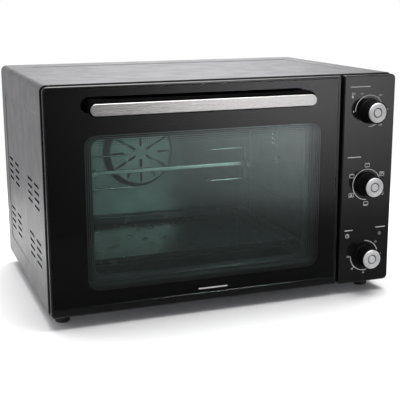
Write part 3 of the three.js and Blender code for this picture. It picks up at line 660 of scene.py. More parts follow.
def build_cord_gland():
    low, high = span("cord_gland")
    bore = 3.4
    neck = low.y + 6.3
    wall = 400
    ribs = [(10, neck), (10, wall + 1), (9.2, wall + 2), (7.2, wall + 2), (7.2, wall + 3.2)]
    for i in range(3):
        level = wall + 4.4 + 2.4 * i
        ribs += [(8, level), (8, level + 0.8), (6.6, level + 1.0), (6.6, level + 1.8)]
    profile = [(bore, low.y), (5.7, low.y), (5.7, neck)] + ribs
    profile += [(5.5, high.y), (bore, high.y), (bore, low.y)]
    gland = make("cord_sleeve", lathe("y", middle("cord_gland"), fillet(profile, 0.4, 2), 48))
    piece(gland, "oven", "rubber", RUBBER, "cord_gland")


def build_feet():
    for name in ("front_left", "rear_left", "front_right", "rear_right"):
        low, high = span(f"foot_{name}")
        radius = (high.x - low.x) / 2
        profile = fillet([
            (0, low.z), (radius - 1, low.z), (radius, low.z + 2), (radius, high.z - 6),
            (radius - 1.2, high.z - 4), (radius - 1.2, high.z), (0, high.z),
        ], 1.2)
        foot = make(f"rubber_foot_{name}", lathe("z", middle(f"foot_{name}", "z"), profile))
        piece(foot, "oven", "foot_rubber", RUBBER, f"foot_{name}")


# ---- door

GLASS_CORNERS = (5, 2, 2, 5)
PRINT_WINDOW = (62, 455, 38, 280)
PRINT_CORNER = 18
DOOR_MARK = (241, 291, 21.5, 23.5)
DOTS = {"rows": 5, "pitch": 3.2, "first": 1.35, "last": 0.5, "sides": 6}
RIM = 2.8
HINGE = {"axis": (5.5, 6.5), "pin": 2.0, "pocket_front": 1.3, "edge": 6.2}


def hinge_cuts():
    """The hinge's pockets and pin holes in the door."""
    cuts = []
    for side in ("left", "right"):
        low, high = span(f"hinge_pin_{side}")
        ear_low = low.x + 8
        cuts.append(block(ear_low - 2, ear_low + 5, HINGE["pocket_front"], 12, -PAST, 12.5))
        cuts.append(cylinder("x", HINGE["axis"], HINGE["pin"] + GAP, low.x - 1, high.x + 1, 32))
    return cuts


def lower_edge_trim(width):
    """What the door's round lower edge leaves out."""
    y, z = HINGE["axis"]
    trim = make("trim", block(-PAST, width + PAST, -8, y + 9, -8, z))
    combine(trim, cylinder("x", (y, z), HINGE["edge"], -2 * PAST, width + 2 * PAST, 64))
    return trim


def build_door_frame():
    low, high = span("door_frame")
    corners = (CORNER - EDGE, 3, 3, CORNER - EDGE)
    surround = slab("y", face("door_frame"), corners, low.y, high.y, RIM, 0.5, 10, 6)
    body = make("door_surround", surround)
    combine(body, lower_edge_trim(high.x))
    glass_back = span("door_glass")[1].y
    rect = face("door_glass")
    combine(body, slab("y", inset(rect, -GAP), shrink(GLASS_CORNERS, -GAP), -PAST, glass_back + GAP))
    combine(body, slab("y", inset(rect, 8), 6, 0, high.y + PAST))
    for cut in hinge_cuts():
        combine(body, cut)
    piece(body, "door", "door_plastic", GLOSS_BLACK, "door_frame")


def spaced(outline, pitch, shift):
    """Points at an even pitch along a closed outline, moved on by a share of the pitch."""
    corners = [Vector(p) for p in outline]
    sides = list(zip(corners, corners[1:] + corners[:1]))
    lengths = [(b - a).length for a, b in sides]
    count = round(sum(lengths) / pitch)
    step = sum(lengths) / count
    places = []
    for i in range(count):
        distance = (i + shift) * step
        for (a, b), length in zip(sides, lengths):
            if distance <= length:
                places.append(a.lerp(b, distance / max(length, 1e-9)))
                break
            distance -= length
    return places


def build_door_glass():
    """The pane, the border printed round its back, rows of dots that shrink inwards, and a plain bar."""
    low, high = span("door_glass")
    rect = face("door_glass")
    glass = make("door_pane", slab("y", rect, GLASS_CORNERS, low.y, high.y, 0.5, 0.3))
    piece(glass, "door", "door_glass", DOOR_GLASS, "door_glass")

    front = high.y - 0.03
    back = high.y + 0.12
    outer = (inset(rect, 0.5), shrink(GLASS_CORNERS, 0.5))
    window = (PRINT_WINDOW, PRINT_CORNER)
    border = stack("y", [(front, *outer), (back, *outer), (back, *window), (front, *window)], closed=True)
    piece(make("glass_print_border", border), "door", "door_glass", BLACK_INK)

    dots = bmesh.new()
    for row in range(DOTS["rows"]):
        depth = DOTS["pitch"] * (row + 0.7)
        share = row / (DOTS["rows"] - 1)
        radius = DOTS["first"] + (DOTS["last"] - DOTS["first"]) * share
        outline = rounded_rect(inset(PRINT_WINDOW, depth), max(PRINT_CORNER - depth, 3))
        for centre in spaced(outline, DOTS["pitch"], 0.5 * (row % 2)):
            ring = arc(centre, radius, 0, 360 - 360 / DOTS["sides"], DOTS["sides"] - 1)
            skin(dots, "y", [(front, ring), (back, ring)])
    bmesh.ops.recalc_face_normals(dots, faces=dots.faces)
    piece(make("glass_print_dots", dots), "door", "door_glass", BLACK_INK)
    mark = slab("y", DOOR_MARK, 0.99, low.y - 0.08, low.y - 0.005, steps=4)
    piece(make("door_mark", mark), "door", "door_glass", PALE_INK)


def build_inner_panel():
    """A flange, a raised plug and the window pressed into it."""
    low, high = span("door_inner_panel")
    sheet = 1.5
    back = high.y
    flange = face("door_inner_panel")
    plug = (36, 454, 42, 320)
    window = (78, 438.5, 55.5, 270)
    rings = [
        (low.y, flange, 6), (low.y + sheet, flange, 6), (low.y + sheet, inset(plug, -1.2), 13),
        (low.y + sheet + 1.2, plug, 12), (back - 3, plug, 12), (back - 0.9, inset(plug, 0.9), 11),
        (back, inset(plug, 3), 9), (back, inset(window, -1.2), 15), (back - 0.4, inset(window, -0.3), 14.3),
        (back - sheet, window, 14), (back - sheet, inset(plug, 3.2), 9),
        (back - 3.2, inset(plug, sheet), 10.5), (low.y, inset(plug, sheet), 10.5),
    ]
    panel = make("inner_panel", stack("y", rings, closed=True))
    piece(panel, "door", "door_panel_steel", INNER_PANEL, "door_inner_panel")
    low, high = span("inner_glass")
    glass = make("inner_pane", slab("y", face("inner_glass"), 4, low.y, high.y, 0.4, 0.4))
    piece(glass, "door", "inner_glass", INNER_GLASS, "inner_glass")


def build_handle():
    """The bar's upper face rises towards the door, so each outline is a little taller than the last."""
    low, high = span("handle_bar")
    trim_low, trim_high = span("handle_trim")
    depth = 12
    front_top = trim_high.z + trim_low.z - low.z
    radius = (front_top - low.z) / 2 - 0.01
    turns = [radians(15 * i) for i in range(7)]
    edges = [(1.4 * (1 - cos(t)), 1.4 * (1 - sin(t))) for t in turns]
    edges += [(depth - 3.5 * (1 - cos(t)), 3.5 * (1 - sin(t))) for t in reversed(turns)]
    rings = []
    for back, d in edges:
        top = front_top + (high.z - front_top) * back / depth
        rings.append((low.y + back, inset((low.x, high.x, low.z, top), d), radius - d))
    bar = make("handle_body", stack("y", rings, steps=16))
    for x in (low.x + 2, high.x - 30):
        post = slab("y", (x, x + 28, low.z + 1.5, high.z - 1.5), 6, low.y + depth - 2, high.y, steps=8)
        combine(bar, post, "UNION")
    piece(bar, "door", "handle_plastic", HANDLE_BLACK, "handle_bar")
    radius = (trim_high.z - trim_low.z) / 2 - 0.01
    strip = slab("y", face("handle_trim"), radius, trim_low.y, trim_high.y, 0.8, 0, 16, 5)
    piece(make("handle_strip", strip), "door", "brushed_steel", BRUSHED, "handle_trim")


# ---- control panel

PANEL_WALL = 3.0
KNOBS = ("temperature", "function", "timer")


def build_control_panel():
    low, high = span("control_panel")
    rect = face("control_panel")
    outer = CORNER - EDGE
    inner = outer - PANEL_WALL
    panel = make("panel_moulding", slab("y", rect, (3, outer, outer, 3), low.y, high.y, 2.0, 0.3, 10, 6))
    hollow = slab("y", inset(rect, PANEL_WALL), (1, inner, inner, 1), low.y + PANEL_WALL, high.y + PAST)
    combine(panel, hollow)
    for knob in KNOBS:
        combine(panel, cylinder("y", middle(f"{knob}_knob"), 4.2, -PAST, PANEL_WALL + PAST))
    lens_centre = middle("indicator_lens")
    combine(panel, cylinder("y", lens_centre, 2.6, -PAST, PANEL_WALL + PAST))
    piece(panel, "oven", "panel_plastic", GLOSS_BLACK, "control_panel")
    dome = [(0, -1.4), (1.2, -1.3), (2.3, -1.0), (3.2, -0.55), (3.2, -0.3), (2.3, -0.3), (2.3, 7), (0, 7)]
    lens = make("power_lens", lathe("y", lens_centre, dome, 48), 50)
    piece(lens, "oven", "lens", LENS, "indicator_lens")


def build_knob(knob):
    centre = middle(f"{knob}_knob")
    low, high = span(f"{knob}_knob")
    cap_low, cap_high = span(f"{knob}_knob_cap")
    base = (high.x - low.x) / 2
    cap = (cap_high.x - cap_low.x) / 2
    top = low.y
    foot = high.y
    outside = fillet([
        (cap + GAP, top + 2.6), (cap + GAP, top + 0.1), (base - 2.7, top), (base - 2.2, foot - 6),
        (base - 0.2, foot - 3.4), (base, foot),
    ], 0.9)
    profile = [(3.3, top + 2.6)] + outside + [
        (base - 3, foot), (base - 5.1, top + 8), (6, top + 8), (6, foot - 0.7), (3.3, foot - 0.7),
        (3.3, top + 2.6),
    ]
    body = make(f"{knob}_knob_body", lathe("y", centre, profile, 96))
    recentre(body, centre)
    piece(body, f"{knob}_control", "knob_plastic", KNOB_BLACK, f"{knob}_knob")
    top = cap_low.y
    ring = 7.2
    profile = [(0, top + 0.15)] + fillet([
        (0.4, top + 0.15), (ring - 1.2, top + 0.15), (ring - 0.9, top + 1.6), (ring + 0.9, top + 1.6),
        (ring + 1.2, top), (cap - 1.4, top), (cap, top + 1.3), (cap, cap_high.y),
    ], 0.2) + [(0, cap_high.y)]
    metal = make(f"{knob}_cap_disc", lathe("y", centre, profile, 96), 50)
    recentre(metal, centre)
    piece(metal, f"{knob}_control", "knob_cap", SPUN, f"{knob}_knob_cap")


# ---- cavity

HEATERS = ("lower_front_heater", "lower_rear_heater", "upper_front_heater", "upper_rear_heater")
CAVITY = (30, 460, 36, 326)
FAN_CENTRE = middle("fan_guard")


def build_heaters():
    """Rods with a collar inside each wall, and thinner ends that pass through it."""
    for name in HEATERS:
        low, high = span(name)
        collar = (high.y - low.y) / 2
        left = low.x + 16
        right = high.x - 16
        profile = fillet([
            (0, low.x), (1.5, low.x), (1.5, left - 9), (collar, left - 9), (collar, left), (3.2, left),
            (3.2, right), (collar, right), (collar, right + 9), (1.5, right + 9), (1.5, high.x), (0, high.x),
        ], 0.4, 2)
        rod = make(f"{name}_rod", lathe("x", middle(name, "x"), profile, 32))
        piece(rod, "oven", "heater_steel", HEATER_METAL, name)


def build_tray():
    low, high = span("baking_tray")
    sheet = 1.2
    rect = face("baking_tray", "z")
    well = inset(rect, 9)
    steps = [
        (high.z - 2.4, inset(rect, 0.6), 13), (high.z - 0.8, rect, 14), (high.z, inset(rect, 0.9), 13.2),
        (high.z, inset(well, -2), 12), (high.z - 1, inset(well, 0.6), 10.5),
        (low.z + 3.5, inset(well, 2.4), 9), (low.z + sheet, inset(well, 5), 7),
        (low.z + sheet, inset(well, 60), 7),
    ]
    under = [
        (low.z, inset(well, 60), 7), (low.z, inset(well, 4.5), 7), (low.z + 3, inset(well, 1.2), 9),
        (high.z - sheet - 1, inset(well, -0.4), 10.5), (high.z - sheet, inset(well, -2.4), 12),
        (high.z - sheet, inset(rect, 2), 12.2), (high.z - 2.2, inset(rect, 1.7), 12),
    ]
    tray = make("enamel_tray", stack("z", under + steps))
    piece(tray, "tray", "tray_enamel", ENAMEL, "baking_tray")


def build_cavity_liner():
    """An open box with a flange round its front, and holes for what passes through its walls."""
    low, high = span("cavity_liner")
    sheet = 1.0
    corner = 9.0
    walls = inset(CAVITY, -sheet)
    back = high.y
    front = low.y
    flange = face("cavity_liner")
    outside = [
        (front, flange, 6), (front + SHEET, flange, 6), (front + SHEET, walls, corner + 1),
        (back - 5, walls, corner + 1), (back - 1.5, inset(walls, 1.5), corner),
        (back, inset(walls, 5), corner - 2),
    ]
    inside = [
        (back - sheet, inset(CAVITY, 4.5), corner - 3),
        (back - sheet - 1.4, inset(CAVITY, 1.4), corner - 1),
        (back - sheet - 5, CAVITY, corner), (front + 1.5, CAVITY, corner),
        (front, inset(CAVITY, -0.8), corner + 0.8),
    ]
    liner = make("oven_cavity", stack("y", inside + outside))
    left = (walls[0] - PAST, walls[0] + 2)
    right = (walls[1] - 2, walls[1] + PAST)
    for name in HEATERS:
        for wall in (left, right):
            combine(liner, cylinder("x", middle(name, "x"), 3.8, *wall, 24))
    combine(liner, cylinder("x", SPIT_AXIS, 9, *right, 48))
    combine(liner, block(*right, *inset(face("lamp_cover", "x"), 3)))
    combine(liner, cylinder("y", FAN_CENTRE, 8, back - 3, back + PAST, 32))
    piece(liner, "oven", "liner_steel", LINER, "cavity_liner")

def build_fan_guard():
    low, high = span("fan_guard")
    sheet = 1.2
    flat = 62.0
    edge = (high.x - low.x) / 2
    profile = [(0, low.y)] + fillet([
        (2, low.y), (flat, low.y), (edge - 8, high.y - sheet), (edge, high.y - sheet), (edge, high.y),
        (edge - 9, high.y), (flat - 1, low.y + sheet), (2, low.y + sheet),
    ], 3.5, 6) + [(0, low.y + sheet)]
    guard = make("fan_cover", lathe("y", FAN_CENTRE, profile, 96))
    slots = []
    for count, radius, length in ((6, 20, 16), (12, 45, 24)):
        for i in range(count):
            slot = slab("y", around((0, 0), 4.5, length), 2.2, low.y - 6, low.y + 6, steps=6)
            slots.append(moved(slot, FAN_CENTRE, FULL_TURN * i / count, radius))
    combine(guard, merged(slots))
    piece(guard, "oven", "liner_steel", LINER, "fan_guard")


def fan_blade(level):
    """A twisted blade with a narrower tip, standing out from the hub."""
    rings = []
    for step in range(7):
        share = step / 6
        twist = 0.75 - 0.3 * share
        half = 6.4 - 1.2 * (share > 0.95)
        turn = Matrix.Rotation(twist, 2)
        flat = ((-half, -0.5), (half, -0.5), (half, 0.5), (-half, 0.5))
        rings.append((8 + 44 * share, [(a, level + b) for a, b in (turn @ Vector(c) for c in flat)]))
    return loft("z", rings)


def build_fan():
    build_fan_guard()
    low, high = span("convection_fan")
    hub = [(0, low.y), (6, low.y), (11, low.y + 2), (11, low.y + 13), (3, low.y + 13), (3, high.y)]
    hub.append((0, high.y))
    wheel = make("fan_wheel", lathe("y", FAN_CENTRE, fillet(hub, 0.8, 3), 48))
    blades = 8
    for i in range(blades):
        combine(wheel, moved(fan_blade(low.y + 6.5), FAN_CENTRE, FULL_TURN * i / blades), "UNION")
    recentre(wheel, FAN_CENTRE)
    piece(wheel, "fan", "fan_aluminium", FAN_METAL, "convection_fan")


# ---- rotisserie and lamp

SPIT_AXIS = middle("spit_rod", "x")


def square_bar(side, x0, x1):
    return block(x0, x1, *around(SPIT_AXIS, side, side))


SPIT_SHOULDER = 49
BORE = 6.8


def build_spit():
    low, high = span("spit_rod")
    rod = make("spit_bar", square_bar(6, SPIT_SHOULDER, high.x))
    soften(rod, 0.5, 3)
    apply_modifiers(rod)
    collar = SPIT_SHOULDER + 0.5
    journal = [(0, low.x), (3, low.x), (3, collar - 3.5), (5.5, collar - 3.5), (5.5, collar), (0, collar)]
    combine(rod, lathe("x", SPIT_AXIS, fillet(journal, 0.6), 48), "UNION")
    piece(rod, "spit", "spit_steel", CHROME, "spit_rod")

    low, high = span("spit_socket")
    head = [(0, low.x), (7, low.x), (8, low.x + 2), (8, low.x + 12), (5, low.x + 12), (5, high.x)]
    head.append((0, high.x))
    socket = make("drive_socket", lathe("x", SPIT_AXIS, fillet(head, 0.7), 64))
    combine(socket, square_bar(BORE, low.x - PAST, CAVITY[1] + PAST))
    piece(socket, "spit", "spit_steel", CHROME, "spit_socket")
    build_fork("left", 1)
    build_fork("right", -1)


def build_fork(side, towards):
    """A hub on the spit with two tines that point along x, and its thumbscrew."""
    low, high = span(f"fork_screw_{side}")
    y, z = SPIT_AXIS
    x = (low.x + high.x) / 2
    fork = make(f"fork_hub_{side}", square_bar(14, x - 6, x + 6))
    soften(fork, 1.0, 3)
    apply_modifiers(fork)
    combine(fork, slab("x", around(SPIT_AXIS, 6, 60), 2.9, x - 2, x + 2, 0.8, 0.8, 8), "UNION")
    for way in (-1, 1):
        tine = [(0, -1.5), (1.6, -1.5), (1.6, 63), (1.2, 69), (0.5, 73.8), (0, 75)]
        profile = [(radius, x + towards * reach) for radius, reach in tine]
        combine(fork, lathe("x", (y, z + way * 28), profile, 24), "UNION")
    combine(fork, square_bar(BORE, x - 8, x + 8))
    combine(fork, cylinder("y", (x, z), 2.3, y - 9, y - 3, 32))
    piece(fork, "spit", "spit_steel", CHROME, f"spit_fork_{side}")

    head = [(0, 0), (5, 0), (6, 1), (6, 7), (3.5, 8), (3.5, 11.7), (2, 11.7)]
    profile = [(radius, low.y + level) for radius, level in head] + [(2, high.y), (0, high.y)]
    screw = make(f"thumb_screw_{side}", lathe("y", (x, z), fillet(profile, 0.4, 3), 72))
    grooves = [
        cylinder("y", (a, b), 0.6, low.y - PAST, low.y + 7.4, 10) for a, b in arc((x, z), 6.3, 0, 340, 17)
    ]
    combine(screw, merged(grooves))
    piece(screw, "spit", "spit_steel", CHROME, f"fork_screw_{side}")


def build_lamp():
    low, high = span("lamp_cover")
    y, z = middle("lamp_cover", "x")
    cover = make("lamp_grille", slab("x", face("lamp_cover", "x"), 3, low.x, high.x, 0.7, 0, 6))
    for i in range(-2, 3):
        slot = around((y, z + i * 8), 16, 3.4)
        combine(cover, slab("x", slot, 1.69, low.x - PAST, high.x + PAST, steps=6))
    soften(cover, 0.2)
    piece(cover, "oven", "liner_steel", LINER, "lamp_cover")
    low, high = span("oven_lamp")
    turns = [radians(t) for t in range(10, 91, 10)]
    bulb = [(0, low.x)] + [(9 * sin(t), low.x + 9 * (1 - cos(t))) for t in turns]
    bulb += [(9, low.x + 14), (7, high.x - 22), (7.5, high.x - 21.5), (7.5, high.x), (0, high.x)]
    piece(make("oven_bulb", lathe("x", (y, z), bulb, 48)), "oven", "lamp_glass", LAMP_GLASS, "oven_lamp")


# ---- hidden parts

def build_round_parts():
    """Shafts and pins, which the CAD draws with flat sides."""
    for knob in KNOBS:
        low, high = span(f"{knob}_shaft")
        x, z = middle(f"{knob}_knob")
        shaft = make(f"{knob}_spindle", cylinder("y", (x, z), 3, low.y, high.y, 48))
        combine(shaft, block(x - 5, x + 5, low.y - PAST, -4, z + 1.6, z + 5))
        soften(shaft, 0.3)
        recentre(shaft, (x, z))
        piece(shaft, f"{knob}_control", "pin_steel", PIN_STEEL, f"{knob}_shaft")
    for side in ("left", "right"):
        low, high = span(f"hinge_pin_{side}")
        pin = make(f"door_pin_{side}", cylinder("x", HINGE["axis"], 2, low.x, high.x, 32, 0.4))
        piece(pin, "door", "pin_steel", PIN_STEEL, f"hinge_pin_{side}")


def build_motors():
    low, high = span("spit_motor")
    gearbox = make("spit_gearbox", cylinder("x", SPIT_AXIS, 25, low.x, high.x, 72, 1.5))
    tabs = slab("x", (low.y, high.y, SPIT_AXIS[1] - 8, SPIT_AXIS[1] + 8), 5, low.x, low.x + 1.6, steps=6)
    combine(gearbox, tabs, "UNION")
    socket_end = 488
    combine(gearbox, cylinder("x", SPIT_AXIS, 5.4, low.x - PAST, socket_end))
    for way in (-1, 1):
        hole = (SPIT_AXIS[0] + way * 29.5, SPIT_AXIS[1])
        combine(gearbox, cylinder("x", hole, 2, low.x - PAST, low.x + 3, 24))
    piece(gearbox, "oven", "motor_steel", MOTOR_STEEL, "spit_motor")
    low, high = span("fan_motor")
    can = make("fan_motor_can", cylinder("y", FAN_CENTRE, 17, low.y, high.y, 64, 2))
    core_front = 369
    core_back = 386
    combine(can, slab("y", face("fan_motor"), 3, core_front, core_back, 0.4, 0.4, 5), "UNION")
    combine(can, cylinder("y", FAN_CENTRE, 3.4, low.y - PAST, core_back - 2, 32))
    piece(can, "oven", "motor_steel", MOTOR_STEEL, "fan_motor")


# ---- CAD nodes that keep their shape

KEPT_NODES = {
    "base_plate": ZINC, "front_frame": FRAME_PAINT, "heat_shield": ZINC, "rack_rail_left": RAIL_STEEL,
    "rack_rail_right": RAIL_STEEL, "crumb_tray": CRUMB_METAL, "spit_support": ZINC,
    "hinge_bracket_left": ZINC, "hinge_bracket_right": ZINC, "thermostat": PHENOLIC,
    "function_switch": PHENOLIC, "timer": PHENOLIC, "indicator_lamp": LAMP_GLASS,
}


def dress_kept_nodes():
    """Materials for the CAD nodes that stay, with their edges rounded a little."""
    for name, material in KEPT_NODES.items():
        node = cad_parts[name]
        node.data.materials.clear()
        node.data.materials.append(material)
        weld = node.modifiers.new("weld", "WELD")
        weld.merge_threshold = 0.01 * MM
        soften(node, 0.25)


# ---- dial prints

INK = (-0.08, -0.005)
ARC_RADIUS = 26
ARC_WIDTH = 1.1
LINE = 0.7


def ink_arc(centre, start, end):
    """A printed arc round a knob. Angles are in degrees, clockwise from twelve o'clock."""
    steps = max(8, round((end - start) / 4))
    outer = arc(centre, ARC_RADIUS + ARC_WIDTH / 2, 90 - start, 90 - end, steps)
    inner = arc(centre, ARC_RADIUS - ARC_WIDTH / 2, 90 - end, 90 - start, steps)
    return loft("y", [(level, outer + inner) for level in INK])


def ink_bar(centre, length, width, turn=0.0):
    """A printed bar, turned clockwise from upright in degrees."""
    return moved(block(-width / 2, width / 2, *INK, -length / 2, length / 2), centre, radians(turn))


def ink_disc(centre, radius):
    return cylinder("y", centre, radius, *INK, 24)


def ink_ring(centre, radius):
    """A printed circle."""
    near, far = INK
    inner = radius - LINE
    return lathe("y", centre, [(inner, near), (radius, near), (radius, far), (inner, far), (inner, near)], 32)


def ink_outline(centre, width, height):
    """A printed rectangle, drawn in outline."""
    rect = around(centre, width, height)
    near, far = INK
    outer = rounded_rect(rect, 1.0, 4)
    inner = rounded_rect(inset(rect, LINE), 0.4, 4)
    return loft("y", [(near, outer), (far, outer), (far, inner), (near, inner)], closed=True)


def on_dial(centre, radius, turn):
    angle = radians(90 - turn)
    return (centre[0] + radius * cos(angle), centre[1] + radius * sin(angle))


def ink_number(text, centre, size):
    """A printed number, as a mesh."""
    curve = bpy.data.curves.new("number", "FONT")
    curve.body = text
    curve.size = size
    curve.align_x = "CENTER"
    curve.align_y = "CENTER"
    curve.extrude = 0.035
    curve.resolution_u = 3
    obj = place_in_scene("number", curve)
    mesh = bpy.data.meshes.new_from_object(obj.evaluated_get(bpy.context.evaluated_depsgraph_get()))
    bm = bmesh.new()
    bm.from_mesh(mesh)
    bmesh.ops.remove_doubles(bm, verts=bm.verts, dist=1e-4)
    upright = Matrix.Rotation(radians(90), 4, "X")
    bm.transform(Matrix.Translation((centre[0], -0.04, centre[1])) @ upright)
    bpy.data.objects.remove(obj)
    bpy.data.curves.remove(curve)
    bpy.data.meshes.remove(mesh)
    return bm


def mode_icon(centre, parts):
    """A cooking mode: an oven in outline, with a bar for each heater in use and marks for spit and fan."""
    x, z = centre
    marks = [ink_outline(centre, 9, 7)]
    if "upper" in parts:
        marks.append(ink_bar((x, z + 1.9), 5.6, LINE, 90))
    if "lower" in parts:
        marks.append(ink_bar((x, z - 1.9), 5.6, LINE, 90))
    if "spit" in parts:
        marks += [ink_bar(centre, 6.4, LINE, 90), ink_disc(centre, 1.2)]
    if "fan" in parts:
        marks += [ink_disc(on_dial(centre, 1.1, turn), 0.75) for turn in (0, 120, 240)]
    return marks


RULE = 1.2


def build_dials():
    """The scales round the knobs. The words beside them are plain rules."""
    x, z = centre = middle("temperature_knob")
    marks = [ink_arc(centre, -90, 180)]
    for turn, number in ((-27, "100"), (38, "150"), (88, "200"), (138, "230")):
        marks.append(ink_bar(on_dial(centre, ARC_RADIUS + 1.6, turn), 2.4, LINE, turn))
        marks.append(ink_number(number, on_dial(centre, ARC_RADIUS + 6.4, turn), 4.4))
    marks.append(ink_disc(on_dial(centre, ARC_RADIUS + 3.4, -90), 1.1))
    marks += [
        ink_disc((x - 32, z + 24), 1.9), ink_bar((x - 32, z + 28.6), 6, 1.3),
        ink_bar((x - 28.6, z + 30.4), 2.4, LINE, 90), ink_bar((x - 28.6, z + 28.2), 2.4, LINE, 90),
        ink_bar((x - 18, z + 40.5), 37, RULE, 90),
    ]
    print_on_panel("temperature_scale", marks)

    x, z = centre = middle("function_knob")
    marks = [ink_arc(centre, -180, 120), ink_bar((x - 25, z + 47.8), 25, RULE, 90)]
    modes = {0: ("upper", "lower"), 60: ("upper", "spit"), -60: ("upper",), -120: ("lower", "fan"),
             -180: ("lower",), 120: ("upper", "fan")}
    for turn, parts in modes.items():
        marks += mode_icon(on_dial(centre, ARC_RADIUS + 7, turn), parts)
    print_on_panel("function_scale", marks)

    x, z = centre = middle("timer_knob")
    marks = [ink_arc(centre, 0, 270), ink_bar((x - 31, z + 46.3), 15, RULE, 90)]
    for step in range(1, 7):
        turn = 45 * step
        marks.append(ink_bar(on_dial(centre, ARC_RADIUS + 1.4, turn), 2.0, LINE, turn))
        marks.append(ink_number(str(10 * step), on_dial(centre, ARC_RADIUS + 5.2, turn), 4.2))
    x, z = clock = (x - 33.4, z + 36.8)
    marks += [ink_ring(clock, 3.6), ink_bar((x, z + 1), 2.2, LINE), ink_bar((x + 0.9, z), 2.0, LINE, 90)]
    lens_top = span("indicator_lens")[1].z
    marks.append(ink_bar((middle("indicator_lens")[0] + 1.5, lens_top + 7.8), 18, RULE, 90))
    print_on_panel("timer_scale", marks)


def print_on_panel(name, marks):
    piece(make(name, merged(marks)), "oven", "panel_plastic", PALE_INK)


# ---- camera, light and floor

CAMERA = {"lens": 81.02, "place": (-0.5249, -1.4863, 0.5078), "turn": -20.076, "down": 13.047, "roll": -0.2}


def build_camera():
    data = bpy.data.cameras.new("camera")
    data.lens = CAMERA["lens"]
    data.sensor_width = 36.0
    camera = place_in_scene("camera", data)
    turn = Matrix.Rotation(radians(CAMERA["turn"]), 4, "Z")
    tilt = Matrix.Rotation(radians(90 - CAMERA["down"]), 4, "X")
    roll = Matrix.Rotation(radians(CAMERA["roll"]), 4, "Z")
    camera.matrix_world = Matrix.Translation(CAMERA["place"]) @ turn @ tilt @ roll
    bpy.context.scene.camera = camera


class WorldLight(Graph):
    """The studio round the object, as light that depends on direction only."""

    def __init__(self):
        world = bpy.data.worlds.new("studio")
        world.use_nodes = True
        super().__init__(world.node_tree)
        self.direction = self.add("TexCoord").outputs["Generated"]
        bpy.context.scene.world = world

    def along(self, direction):
        """How far the direction of sight points along a direction."""
        return self.add("VectorMath", (self.direction, direction), operation="DOT_PRODUCT").outputs["Value"]

    def patch(self, azimuth, elevation, width, height, strength):
        """A soft patch of light, placed and sized in degrees, with azimuth from -Y towards +X."""
        a = radians(azimuth)
        sideways = self.along((cos(a), sin(a), 0))
        ahead = self.along((sin(a), -cos(a), 0))
        upward = self.math("SUBTRACT", self.along((0, 0, 1)), sin(radians(elevation)))
        across = self.math("DIVIDE", sideways, sin(radians(width)))
        up = self.math("DIVIDE", upward, sin(radians(height)))
        reach = self.math("ADD", self.math("MULTIPLY", across, across), self.math("MULTIPLY", up, up))
        glow = self.math("EXPONENT", self.math("MULTIPLY", reach, -1.0))
        in_front = self.math("GREATER_THAN", ahead, 0.0)
        return self.math("MULTIPLY", self.math("MULTIPLY", glow, in_front), strength)

    def sweep(self, direction, dark, bright, start, end):
        """A smooth change from dark to bright towards a direction."""
        return self.scaled(self.along(direction), dark, bright, start, end)

    def finish(self, level, seen):
        """The world shows the level seen to the camera, and lights the object with level."""
        camera_ray = self.add("LightPath").outputs["Is Camera Ray"]
        strength = self.add("Mix", {0: camera_ray, 2: level, 3: seen}, data_type="FLOAT")
        colours = {0: camera_ray, 6: (1.0, 0.988, 1.015, 1), 7: (1, 1, 1, 1)}
        tint = self.add("Mix", colours, data_type="RGBA")
        background = next(n for n in self.nodes if n.type == "BACKGROUND")
        self.feed(background.inputs["Color"], tint.outputs[2])
        self.feed(background.inputs["Strength"], strength.outputs[0])


def build_world():
    studio = WorldLight()
    room = studio.sweep((-0.35, 0.85, 0.4), 0.12, 1.0, -0.6, 0.2)
    for dark_side in ((1.0, 0.1, 0.4, 0.56), (0.7, 1.0, 0.1, 0.27)):
        room = studio.math("MULTIPLY", room, studio.sweep((1, 0, 0), *dark_side))
    boxes = (
        studio.patch(27.8, -4, 9.5, 7.2, 2.15),
        studio.patch(21.8, 18, 3.4, 8, 9.4),
        studio.patch(161, 10, 14, 16, 0.7),
        studio.patch(195, 21, 10, 10, -0.8),
    )
    for box in boxes:
        room = studio.math("ADD", room, box)
    studio.finish(room, 1.0)


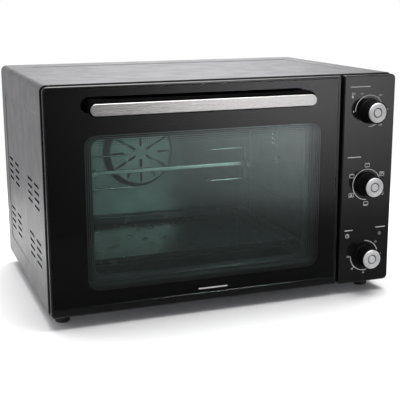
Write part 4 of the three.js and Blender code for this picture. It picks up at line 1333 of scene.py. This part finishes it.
def floor_tone(s):
    """The floor's colour: pale, but dark in front of the oven where the door and the glass mirror it."""
    path = s.add("LightPath").outputs
    mirrored = s.math("MAXIMUM", path["Is Glossy Ray"], path["Is Transmission Ray"])
    depth = s.add("SeparateXYZ", (s.place,)).outputs["Y"]
    dark = s.math("MULTIPLY", mirrored, s.scaled(depth, 1.0, 0.0, -0.26, -0.16))
    tone = s.add("Mix", {0: dark, 6: (*grey(0.92), 1), 7: (*grey(0.08), 1)}, data_type="RGBA")
    return tone.outputs[2]


def build_floor():
    """A pale floor that fades into the background."""
    low, high = CAD_BOUNDS
    radius = 1.1
    bm = bmesh.new()
    bmesh.ops.create_circle(bm, cap_ends=True, segments=96, radius=radius)
    mesh = bpy.data.meshes.new("floor")
    bm.to_mesh(mesh)
    bm.free()
    floor = place_in_scene("floor", mesh)
    floor.location = ((low.x + high.x) / 2, (low.y + high.y) / 2, low.z)
    s = Surface("pale_floor", roughness=0.9, specular_ior_level=0.0)
    s.shade("Base Color", floor_tone(s))
    distance = s.add("VectorMath", (s.place,), operation="LENGTH").outputs["Value"]
    s.shade("Alpha", s.scaled(distance, 1.0, 0.0, 0.6, radius))
    floor.data.materials.append(s.material)


def build_overhead_light():
    """A large lamp above, behind and to the right, pointing at the oven."""
    data = bpy.data.lights.new("overhead", "AREA")
    data.shape = "RECTANGLE"
    data.size = 1.8
    data.size_y = 1.4
    data.energy = 60
    light = place_in_scene("overhead", data)
    light.location = (0.1, 0.12, 1.7)
    light.rotation_euler = (Vector((0, 0, 0.1)) - light.location).to_track_quat("-Z", "Y").to_euler()


def build_oven_light():
    """The light of the oven's own lamp, a little in from its cover."""
    low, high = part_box("lamp_cover")
    data = bpy.data.lights.new("oven_light", "POINT")
    data.energy = 0.42
    data.color = (1.0, 0.97, 0.93)
    data.shadow_soft_size = 0.02
    lamp = place_in_scene("oven_light", data)
    lamp.location = (low.x - 0.075, (low.y + high.y) / 2 - 0.04, low.z - 0.02)
    lamp.visible_camera = False
    lamp.visible_glossy = False
    lamp.visible_transmission = False


bpy.context.scene.view_settings.view_transform = "Standard"
build_camera()
build_world()
build_floor()
build_overhead_light()
build_oven_light()
build_casing()
build_rear_cover()
build_cord_gland()
build_feet()
build_door_frame()
build_door_glass()
build_inner_panel()
build_handle()
build_control_panel()
for knob in KNOBS:
    build_knob(knob)
build_cavity_liner()
build_heaters()
build_tray()
build_fan()
build_spit()
build_lamp()
build_round_parts()
build_motors()
dress_kept_nodes()
build_dials()
